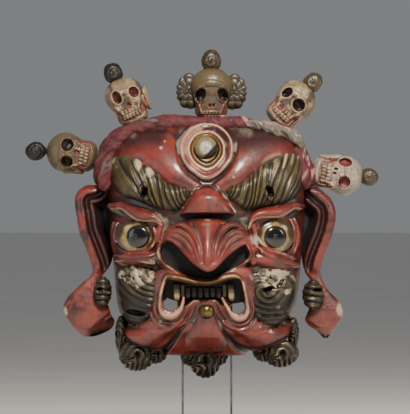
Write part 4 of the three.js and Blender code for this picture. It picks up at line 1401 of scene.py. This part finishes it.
def bare_skull():
    """The turned skull before carving, at size 1: across, up and ahead, and 1 where it faces forward."""
    h = np.linspace(0, 1, SKULL_ROWS + 2)[1:-1]
    shape = spline(PROFILE, 400)
    run = distance_along(shape)
    at = [np.interp(h * run[-1], run, shape[:, k])[:, None] for k in range(3)]
    t = np.linspace(0, 2 * np.pi, SKULL_AROUND, endpoint=False)[None, :]
    up = at[0] + 0 * t
    return at[1] * np.sin(t), up, at[2] * np.cos(t), smoothstep(0.0, 0.45, np.cos(t)) + 0 * up


def carved(centre, tilt, size, sockets, nose, teeth, jaw, seed, pink, rim):
    """The skull's head: sockets, nose, teeth, gums and cheekbones pushed in or out of the bare skull."""
    across, up, ahead, face = bare_skull()
    wide = np.abs(across)
    push = 0.5 * unevenness(across, up + ahead, 9, seed)
    dark, red, pale = np.zeros(up.shape), np.zeros(up.shape), np.zeros(up.shape)
    brow_bone = ring(up - 5.5 + 0.02 * across**2, 0, 4.0) * smoothstep(20, 15, wide)
    push = push + 1.8 * brow_bone * face
    cheekbones = mound(across, up, -13.5, -11.5, 6, 4.5, 25) + mound(across, up, 13.5, -11.5, 6, 4.5, -25)
    push = push + 2.2 * face * cheekbones
    for x, z, half_u, half_v, turn in sockets:
        u, v = skull_frame(centre, tilt, x, z)
        u, v = u / size, v / size
        hole = mound(across, up, u, v, half_u, half_v, turn, 0.35)
        edge = mound(across, up, u, v, half_u + 2.4, half_v + 2.4, turn, 0.35)
        push = push - 8.5 * hole * face + 1.3 * (edge - hole) * face
        dark = np.maximum(dark, smoothstep(0.3, 0.75, hole) * face * (1 - pink))
        red = np.maximum(red, smoothstep(0.3, 0.6, hole) * face * (pink > 0))
        pale = np.maximum(pale, rim * smoothstep(0.25, 0.6, edge - hole) * face)
    for x, z, half in nose:
        u, v = skull_frame(centre, tilt, x, z)
        hole = mound(across, up, u / size, v / size, half, half * 1.5, 0, 0.4)
        push = push - 3.5 * hole * face
        red = np.maximum(red, smoothstep(0.3, 0.8, hole) * face)
    row_h, row_gap, pitch, half_w = teeth
    for sign in (1, -1):
        mid = row_h + sign * row_gap / 2
        row = smoothstep(row_gap * 0.5, row_gap * 0.34, np.abs(up - mid))
        row = row * smoothstep(half_w, half_w - 2, wide)
        tooth = locks((across + 0.35 * sign * pitch) / pitch, 0.45)
        push = push + (2.9 * tooth - 0.9) * row * face
        gap = row * smoothstep(0.45, 0.15, tooth) * face
        dark, red = np.maximum(dark, 0.55 * gap), np.maximum(red, 0.55 * gap)
        pale = np.maximum(pale, 0.5 * row * smoothstep(0.5, 0.9, tooth) * face)
    gums = smoothstep(row_gap * 1.7, row_gap * 1.1, np.abs(up - row_h))
    gums = gums * smoothstep(half_w + 3, half_w, wide) * face
    red = np.maximum(red, gums * (1 - pale) * (1 - dark) * 0.5)
    jaw_bone = ring(up - (row_h - row_gap * 2.0) - 0.02 * across**2, 0, 3.0)
    jaw_bone = jaw_bone * smoothstep(half_w + 4, half_w, wide)
    push = push + 2.4 * face * jaw_bone
    strut = np.maximum(0, 1 - np.abs(wide - 0.42 * (up - row_h) - 9.5) / 2.2)
    strut = strut * smoothstep(row_h - 3, row_h + 2, up) * smoothstep(-5, -9, up) * face
    push = push + 1.8 * strut
    pale = np.maximum(pale, 0.8 * strut)
    cheek = ring(wide - half_w - 3.4, 0, 2.2)
    cheek = cheek * smoothstep(row_h - 9, row_h - 4, up) * smoothstep(-7, -11, up) * face
    push = push + jaw * cheek
    red = np.maximum(red, 0.7 * cheek)
    crack = ridge(across, up, [(-4, 22, 1, 1), (-2, 15, 1, 1), (3, 10, 1, 1), (1, 6, 0.8, 0.6)], 0.8) * face
    push = push - 0.3 * crack
    grime = smoothstep(0.45, 0.95, patches(across, up, 11, seed + 3)) * 0.85
    grime = np.maximum(grime, 0.7 * smoothstep(0.2, 1.2, blurred(push, 3) - push) * face)
    # Darker towards the back.
    behind = smoothstep(-2, -30, ahead) * 0.6
    masks = {"dark": dark, "red": red, "pale": pale, "dirt": np.maximum(grime, behind), "crack": 0.35 * crack}
    points = np.stack([across, -(ahead + push), up], -1).reshape(-1, 3)
    points = np.vstack([points, (0, 0, PROFILE[0, 0]), (0, 0, PROFILE[-1, 0])])
    quads = grid_quads(SKULL_ROWS, SKULL_AROUND, wrap_columns=True)
    return points, [quads, end_caps(SKULL_ROWS, SKULL_AROUND)], with_tips(masks)


def topknot(u, v, radius, dark, seed):
    """A ball wound round by one spiral lock, and the short neck that joins it to the head."""
    ball, faces, _ = turned((0, 0, 0), (radius, radius, radius * 1.08), 76, 48)
    spin = np.arctan2(ball[:, 2], ball[:, 0])
    swirl = locks(np.hypot(ball[:, 0], ball[:, 2]) / 4.4 + spin / (2 * np.pi), 0.6)
    lumps = unevenness(ball[:, 0] + ball[:, 1], ball[:, 2], 6, seed + 7)
    ball *= (1 + 0.10 * (swirl - 0.5) + 0.06 * lumps)[:, None]
    ball += (u, -1.0, v)
    masks = {
        "knot": np.ones(len(ball)),
        "dark": np.maximum(dark, 0.8 * smoothstep(0.3, 0.05, swirl)),
        "pale": 0.3 * smoothstep(0.85, 1, swirl) * (1 - dark),
    }
    neck_radii = radius * np.array([0.62, 0.6, 0.55])
    neck, neck_faces, _ = turned((u * 0.72, -0.5, v * 0.80), neck_radii, 48, 30)
    neck_masks = {"knot": np.ones(len(neck)), "dark": np.full(len(neck), 0.6)}
    return [(ball, faces, masks), (neck, neck_faces, neck_masks)]


def scalloped_fan(side, reach, low, high):
    """A frill beside the head: a flat rounded body whose rim steps in and out with its radial ribs."""
    ball, faces, unit = turned((0, 0, 0), (reach, 3.6, (high - low) / 2), 104, 44)
    spin = np.arctan2(ball[:, 2], ball[:, 0] * side)
    rib = locks(spin / np.pi * 5.4 + 0.2 + 0.3 * np.sin(spin * 1.7), 0.8)
    rim = smoothstep(0.25, 1, np.hypot(unit[:, 0], unit[:, 2]))
    ball[:, 0] *= 1 + 0.16 * (rib - 0.6) * rim
    ball[:, 2] *= 1 + 0.10 * (rib - 0.6) * rim
    ball[:, 1] *= 1 + 0.4 * (rib - 0.5) * rim
    curl = locks(np.hypot(ball[:, 0], ball[:, 2]) / 8 + 0.3 * np.sin(spin * 3), 0.8)
    ball[:, 1] -= 0.9 * curl * (unit[:, 1] < 0)
    ball += (side * 25.0, 4, (low + high) / 2)
    grooves = np.maximum(smoothstep(0.5, 0.15, rib), 0.7 * smoothstep(0.35, 0.1, curl))
    masks = {
        "knot": np.ones(len(ball)),
        "dark": np.maximum(0.4, grooves),
        "pale": 0.15 * smoothstep(0.85, 1, rib) * rim,
    }
    return ball, faces, masks


def jaw_flap(side, top, bottom, out, red):
    """The hinge of the jaw: a thin curved ear of bone standing off the side of the face."""
    ball, faces, unit = turned((0, 0, 0), (4.6, 6.5, (top - bottom) / 2), 60, 34)
    ball[:, 0] += side * 0.018 * (ball[:, 2] + 4) ** 2
    ball[:, 1] += 0.4 * ball[:, 0] * side
    ball += (side * out, -3.0, (top + bottom) / 2)
    groove = ring(ball[:, 0] - side * out, 0, 1.4)
    ball[:, 1] += 1.0 * groove * (unit[:, 1] < 0)
    return ball, faces, {"red": red * groove, "pale": 0.6 * smoothstep(0.5, 0.9, np.abs(unit[:, 0]))}


def skull(name, centre, tilt, size, knot, tint, seed, fans=(), flap=None, pink=0.0, rim=0.6, **head):
    """A whole skull on the mask: head, topknot and what flanks it, sized, tilted and painted with its age."""
    knot_x, knot_z, radius, dark = knot
    u, v = skull_frame(centre, tilt, knot_x, knot_z)
    bodies = [carved(centre, tilt, size, seed=seed, pink=pink, rim=rim, **head)]
    bodies += topknot(u / size, v / size, radius / size, dark, seed)
    bodies += [scalloped_fan(*places) for places in fans]
    if flap:
        bodies.append(jaw_flap(*flap))
    points, faces, masks = joined(bodies)
    points = points * size
    a = math.radians(tilt)
    x = centre[0] + points[:, 0] * math.cos(a) - points[:, 2] * math.sin(a)
    z = centre[1] + points[:, 0] * math.sin(a) + points[:, 2] * math.cos(a)
    for tone, amount in tint.items():
        masks[tone] = amount * (1 - masks["knot"])
    places = np.stack([x, SKULL_Y + points[:, 1], z], -1)
    return build(f"{name}_carving", places, faces, masks, stands_for=name)


print("profile of a skull:", len(PROFILE), "places from chin to crown")

# %% [markdown]
# The five were carved by one hand but never alike: each has its own turn, sockets, teeth and age. The
# middle one wears a frill of hair, and two are painted paler than the rest.

# %% The crown of five
# Sockets and nose holes are places with half-sizes, and a turn for a socket. Teeth are the height of the
# bite, the rows' gap, the teeth's pitch and the half-width. A knot is its place, radius and darkness.
SKULLS = {
    "skull_far_left": {
        "centre": (-161, 95), "tilt": 80, "size": 0.99, "jaw": 2.0, "seed": 401,
        "sockets": [(-160, 103.5, 7.6, 7.2, 0), (-160.5, 84.5, 6.4, 7.0, 0)],
        "nose": [(-149, 95.5, 2.2)], "teeth": (-20.5, 5.4, 4.0, 11.5),
        "knot": (-196.5, 96.6, 10.3, 0.75), "tint": {"aged": 0.9},
        "rim": 0.2, "flap": (-1, 0, -24, 18.5, 0.4), "pink": 0.2,
    },
    "skull_upper_left": {
        "centre": (-94.3, 158.7), "tilt": 24, "size": 0.98, "jaw": 2.0, "seed": 409,
        "sockets": [(-84, 164, 5.6, 6.6, 10), (-103, 157.5, 5.2, 7.8, 0)],
        "nose": [(-89, 149, 2.2)], "teeth": (-20.0, 6.0, 4.2, 12.5),
        "knot": (-107.5, 186, 10.6, 0.7), "tint": {"aged": 0.38},
        "flap": (1, 4, -26, 20.5, 0.8), "pink": 0.5,
    },
    "skull_middle": {
        "centre": (5.2, 168.5), "tilt": -1, "size": 1.04, "jaw": 2.2, "seed": 419,
        "sockets": [(-7.6, 160.5, 5.6, 7.8, -28), (18.4, 160.5, 5.6, 7.8, 28)],
        "nose": [(3.2, 148.5, 1.4), (7.6, 148.5, 1.4)], "teeth": (-29.5, 4.6, 3.6, 10.0),
        "knot": (5, 200, 11.2, 0.45), "tint": {"aged": 0.75},
        "rim": 0.1, "fans": [(-1, 13.5, -23, 16), (1, 13.5, -23, 16)], "pink": 0.1,
    },
    "skull_upper_right": {
        "centre": (101, 155), "tilt": -45, "size": 1.0, "jaw": 2.2, "seed": 431,
        "sockets": [(92, 163.5, 5.0, 7.0, -10), (105, 149, 7.6, 7.2, 0)],
        "nose": [(84.5, 146.5, 2.6)], "teeth": (-20.5, 6.0, 4.3, 13.0),
        "knot": (121.5, 175, 10.6, 0.3), "tint": {"aged": 0.3},
        "flap": (1, 0, -32, 16.5, 0.9), "pink": 0.25,
    },
    "skull_far_right": {
        "centre": (155.5, 69), "tilt": -98, "size": 1.0, "jaw": 2.0, "seed": 443,
        "sockets": [(158.5, 83.5, 5.0, 7.6, 0), (157, 61, 6.8, 6.8, 0)],
        "nose": [(147.5, 76, 1.7), (146, 71, 1.7)], "teeth": (-19.5, 6.0, 4.2, 12.0),
        "knot": (186, 67, 9.8, 0.25), "tint": {"white": 0.45},
        "rim": 0.3, "flap": (-1, -4, -30, 16.5, 0.9), "pink": 0.8,
    },
}
for name, carving in SKULLS.items():
    skull(name, **carving)

# %% [markdown]
# ## Finishes
# Each finish is layered as the maker's hand and the years laid it: two tones of the paint, then every
# painted mask's colour over them, broken up by fine grain so that no layer ends in a clean line.

# %% Colours and shader nodes
SOOT = "#1d1410"
UNVARNISHED = ("dark", "dirt", "bare")  # masks that lose the clear coat


def colour(code):
    """An sRGB hex colour as linear RGBA: c / 12.92 near black, ((c + 0.055) / 1.055)^2.4 above it."""
    srgb = np.array([int(code[i : i + 2], 16) for i in (1, 3, 5)]) / 255
    linear = np.where(srgb <= 0.04045, srgb / 12.92, ((srgb + 0.055) / 1.055) ** 2.4)
    return (*linear.tolist(), 1.0)


def node(tree, kind, inputs=None, **settings):
    """One shader node with its settings, and a number or a link for each named input."""
    made = tree.nodes.new("ShaderNode" + kind)
    for key, value in settings.items():
        setattr(made, key, value)
    for key, value in (inputs or {}).items():
        if isinstance(value, bpy.types.NodeSocket):
            tree.links.new(value, made.inputs[key])
        else:
            made.inputs[key].default_value = value
    return made


def layered(
    name, tones, layers=(), cloud=45, grain=900, rough=(0.25, 0.5), coat=0.0, bump=0.15, metal=0.0, grime=0.6
):
    """A finish: two tones in clouds, soot over them, then each mask's colour and roughness over both."""
    material = bpy.data.materials.new(name)
    material.use_nodes = True
    tree = material.node_tree
    tree.nodes.clear()
    fine = {"Vector": node(tree, "TexCoord").outputs["Object"], "Detail": 6.0}
    clouds = node(tree, "TexNoise", {**fine, "Scale": cloud, "Roughness": 0.62}).outputs[0]
    grains = node(tree, "TexNoise", {**fine, "Scale": grain, "Detail": 5.0, "Roughness": 0.7}).outputs[0]
    spread = node(tree, "MapRange", {0: clouds, 1: 0.36, 2: 0.64}, interpolation_type="SMOOTHSTEP").outputs[0]
    two_tones = {0: spread, 6: colour(tones[0]), 7: colour(tones[1])}
    look = node(tree, "Mix", two_tones, data_type="RGBA").outputs[2]
    soot = node(tree, "TexNoise", {**fine, "Scale": cloud * 5.3, "Roughness": 0.75}).outputs[0]
    soot = node(tree, "MapRange", {0: soot, 1: 0.46, 2: 0.72, 4: grime}).outputs[0]
    look = node(tree, "Mix", {0: soot, 6: look, 7: colour(SOOT)}, data_type="RGBA").outputs[2]
    gloss = node(tree, "MapRange", {0: grains, 1: 0.3, 2: 0.7, 3: rough[0], 4: rough[1]}).outputs[0]
    gloss = node(tree, "Mix", {0: soot, 2: gloss, 3: 0.7}).outputs[0]
    shine, varnish = metal, coat
    for mask, tint, roughness, ragged in layers:
        painted = node(tree, "Attribute", attribute_name=mask).outputs["Fac"]
        torn = node(tree, "Math", {0: grains, 1: 0.5}, operation="SUBTRACT").outputs[0]
        torn = node(tree, "Math", {0: torn, 1: ragged, 2: painted}, operation="MULTIPLY_ADD").outputs[0]
        cover = node(tree, "MapRange", {0: torn, 1: 0.25, 2: 0.75}, interpolation_type="SMOOTHSTEP")
        cover = cover.outputs[0]
        look = node(tree, "Mix", {0: cover, 6: look, 7: colour(tint)}, data_type="RGBA").outputs[2]
        gloss = node(tree, "Mix", {0: cover, 2: gloss, 3: roughness}).outputs[0]
        if mask in UNVARNISHED:
            varnish = node(tree, "Mix", {0: cover, 2: varnish, 3: 0.0}).outputs[0]
        if mask == "gold":
            shine = node(tree, "Math", {0: cover, 1: 0.6}, operation="MULTIPLY").outputs[0]
    height = node(tree, "Mix", {0: 0.5, 2: soot, 3: grains}).outputs[0]
    bumps = node(tree, "Bump", {"Height": height, "Strength": bump, "Distance": 0.001}).outputs[0]
    surface = {"Base Color": look, "Roughness": gloss, "Normal": bumps, "Metallic": shine}
    surface.update({"Coat Weight": varnish, "Coat Roughness": 0.18})
    shader = node(tree, "BsdfPrincipled", surface)
    node(tree, "OutputMaterial", {"Surface": shader.outputs[0]})
    return material


print("soot in linear light:", [round(v, 3) for v in colour(SOOT)])

# %% [markdown]
# The lacquer is the mask's own finish. It was glossy and has stayed so on the swells: the hollows take a
# maroon and black painted shade, bare gesso shows where it has chipped, and grey-green dust lies in the
# grooves.

# %% Red lacquer
# Red lacquer: what the eye meets first, orange-red on the swells and maroon painted shade in the hollows.
lacquer = layered(
    "red_lacquer_worn",
    ("#7c2b1f", "#4f1a15"),
    [
        ("deep", "#2c0a09", 0.4, 0.6),
        ("gold", "#6d5128", 0.42, 0.5),
        ("dirt", "#6b675a", 0.62, 1.2),
        ("bare", "#9c8f7f", 0.7, 1.8),
        ("cream", "#b98f74", 0.45, 1.1),
        # Near black: painted shade in the deepest hollows, the mouth and the nostril recess.
        ("dark", "#060404", 0.7, 0.3),
        ("inside", "#4b3a2b", 0.85, 0.2),
    ],
    rough=(0.2, 0.4), coat=0.6, bump=0.7,
)
print(len(bpy.data.materials), "materials")

# %% [markdown]
# The carved hair was gilded and has gone dull. Cloth, enamel, silvering and bone paint each age their own
# way, and the stand is new: plain steel and black paint.

# %% The other finishes
# Old gilding: dull olive gold over brown bole, brightest on the ridges of the locks.
gilding = layered(
    "old_gilding_olive",
    ("#5f502b", "#43381f"),
    [
        ("deep", "#1f1a10", 0.5, 0.5),
        ("dirt", "#44463b", 0.65, 1.0),
        ("bare", "#b3a78e", 0.72, 2.6),
        ("cream", "#b5a67c", 0.35, 0.8),
        ("dark", "#0d0a07", 0.6, 0.4),
    ],
    rough=(0.25, 0.45), coat=0.3, bump=0.25, metal=0.25,
)
# Boss gilding: the one ball that hands have kept bright.
bright_gilding = layered(
    "boss_gilding_rubbed", ("#7d6d40", "#5a4c2b"), [("deep", "#2b2312", 0.4, 0.5)],
    cloud=120, rough=(0.18, 0.32), bump=0.2, metal=0.85, grime=0.4,
)
# Maroon cloth: felted wool-like nap, with a painted pink highlight on its high places, stronger to the right,
# and grey where the lining shows.
cloth = layered(
    "crown_cloth_maroon",
    ("#652429", "#43171b"),
    [
        ("deep", "#2b0f12", 0.9, 0.5),
        ("dirt", "#6c6760", 0.9, 1.4),
        # cream: painted highlight on the roll's swells
        ("cream", "#a3726c", 0.8, 1.3),
    ],
    cloud=160, grain=1600, rough=(0.6, 0.85), bump=0.6,
)
# Grey lining: dusty woven cloth come loose over the roll.
lining = layered(
    "lining_grey_frayed",
    ("#7d756a", "#5c564e"),
    [("cream", "#b7ab9a", 0.9, 1.4), ("dark", "#211d1a", 0.9, 0.6)],
    cloud=260, grain=2200, rough=(0.8, 0.95), bump=0.8,
)
# Eye enamel: yellowed white, with painted brown shade towards the lids, and a wet black iris ringed in green.
enamel = layered(
    "eye_enamel_yellowed",
    ("#a08a55", "#7f6636"),
    # edge: painted brown shade next to the lids
    [("edge", "#3a2812", 0.25, 0.5), ("iris", "#16180f", 0.12, 0.15), ("pupil", "#040303", 0.06, 0.05)],
    cloud=110, rough=(0.12, 0.22), coat=0.8, bump=0.04, grime=0.25,
)
# Worn silvering on the third eye's ball: chalky white with black losses.
silvering = layered(
    "third_eye_silvering",
    ("#c6bfae", "#9f9784"),
    [("dirt", "#6f6443", 0.5, 1.0), ("dark", "#17130f", 0.5, 0.9)],
    cloud=300, rough=(0.3, 0.6), coat=0.2, bump=0.5,
)
# Bone paint: cream over brown, red in the gums and sockets, darker at the back.
bone = layered(
    "bone_paint_aged",
    ("#9c8a6e", "#725f46"),
    [
        ("white", "#a9a29d", 0.4, 0.9),
        ("aged", "#54472f", 0.42, 0.8),
        ("dirt", "#463d31", 0.6, 1.3),
        ("knot", "#3f341f", 0.4, 0.3),
        ("pale", "#a08d6d", 0.4, 1.0),
        ("red", "#6b2a26", 0.45, 0.9),
        ("crack", "#2a2019", 0.6, 0.6),
        ("dark", "#0f0a09", 0.5, 0.5),
    ],
    cloud=90, rough=(0.3, 0.5), coat=0.25, bump=0.3,
)
# Satin steel rods and a black foot: quiet, so that the mask seems to float.
steel = layered(
    "steel_rod_satin", ("#8d9196", "#6d7176"),
    cloud=60, grain=2500, rough=(0.25, 0.4), bump=0.05, metal=1.0, grime=0.15,
)
foot_paint = layered(
    "foot_black_satin", ("#141416", "#1c1c1f"),
    cloud=20, grain=1800, rough=(0.35, 0.5), coat=0.1, bump=0.08, grime=0.1,
)
print(len(bpy.data.materials), "materials")

# %% [markdown]
# Each piece is given the finish it was painted in. The rods and the foot keep their CAD shapes.

# %% Give each piece its finish
FINISHES = {
    lacquer: ["mask_face", "ear_left", "ear_right"],
    gilding: [*BROWS, *WHORLS, *TUFTS, "teeth"],
    bright_gilding: ["chin_boss"],
    enamel: ["eyeball_left", "eyeball_right"],
    silvering: ["third_eye_ball"],
    cloth: ["crown_roll", "crown_roll_back"],
    lining: ["lining_frayed"],
    bone: [f"{name}_carving" for name in SKULLS],
    steel: ["stand_rod_left", "stand_rod_right"],
    foot_paint: ["stand_foot"],
}
for finish, names in FINISHES.items():
    for name in names:
        slots = bpy.data.objects[name].data.materials
        slots.clear()
        slots.append(finish)
print(sum(len(names) for names in FINISHES.values()), "pieces dressed")

# %% [markdown]
# ## The studio
# A pale floor, a soft key from high in front, a broad weak fill from the left and a weaker side light from
# the right: plain light that lets the lacquer's highlights draw the relief.

# %% Floor, lights and world
FLOOR_REACH = 40.0
corners = FLOOR_REACH * np.array([(-1, -1, 0), (1, -1, 0), (1, 1, 0), (-1, 1, 0)], float)
floor_mesh = bpy.data.meshes.new("floor")
floor_mesh.from_pydata(corners.tolist(), [], [(0, 1, 2, 3)])
floor = bpy.data.objects.new("floor", floor_mesh)
bpy.context.scene.collection.objects.link(floor)
# Pale paper sweep: a quiet ground that keeps the eye on the mask.
paper = layered(
    "pale_paper_sweep", ("#ebe8e3", "#e6e3dd"), cloud=3, grain=200, rough=(0.75, 0.9), bump=0.0, grime=0.0
)
floor_mesh.materials.append(paper)


def lamp(name, at, target, size, power, tint):
    """A round area light at a place, turned to face its target; size is its diameter in metres."""
    data = bpy.data.lights.new(name, "AREA")
    data.shape = "DISK"
    data.size = size
    data.energy = power
    data.color = colour(tint)[:3]
    light = bpy.data.objects.new(name, data)
    light.location = at
    away = np.array(at) - np.array(target)
    yaw = math.atan2(away[0], -away[1])
    pitch = math.atan2(math.hypot(away[0], away[1]), away[2])
    light.rotation_euler = (pitch, 0, yaw)
    bpy.context.scene.collection.objects.link(light)


between_eyes = (0.0, 0.0, EYE_LINE / 1000)
lamp("key", (0.18, -1.2, 1.4), between_eyes, 0.42, 50, "#fff4e8")
lamp("fill", (-1.5, -0.7, 0.45), between_eyes, 0.9, 3.5, "#eef3ff")
lamp("side", (1.4, -0.5, 0.6), between_eyes, 0.5, 4.5, "#fff6ee")
studio = bpy.data.worlds.new("studio")
bpy.context.scene.world = studio
studio.use_nodes = True
ambient = studio.node_tree.nodes["Background"].inputs
ambient["Color"].default_value = colour("#c9ccd0")
ambient["Strength"].default_value = 0.36
print("lamps:", [light.name for light in bpy.data.lights])

# %% [markdown]
# The camera stands level with the brows, five metres away behind a long lens, so that the mask keeps its
# true breadth and nothing near the edge of the view is drawn out.

# %% Camera
CAMERA_AWAY = 5.0
VIEW_WIDTH = 0.4715  # metres seen across at the front of the face
VIEW_X, VIEW_Z = -0.0023, 0.2645
FACE_FRONT = (RIM_Y - 50) / 1000
lens = bpy.data.cameras.new("camera")
lens.sensor_width = 36.0
lens.lens = lens.sensor_width * CAMERA_AWAY / VIEW_WIDTH
camera = bpy.data.objects.new("camera", lens)
camera.location = (VIEW_X, FACE_FRONT - CAMERA_AWAY, VIEW_Z)
camera.rotation_euler = (math.pi / 2, 0, 0)
bpy.context.scene.collection.objects.link(camera)
bpy.context.scene.camera = camera
print("camera at", [round(v, 3) for v in camera.location], "with a lens of", round(lens.lens), "mm")
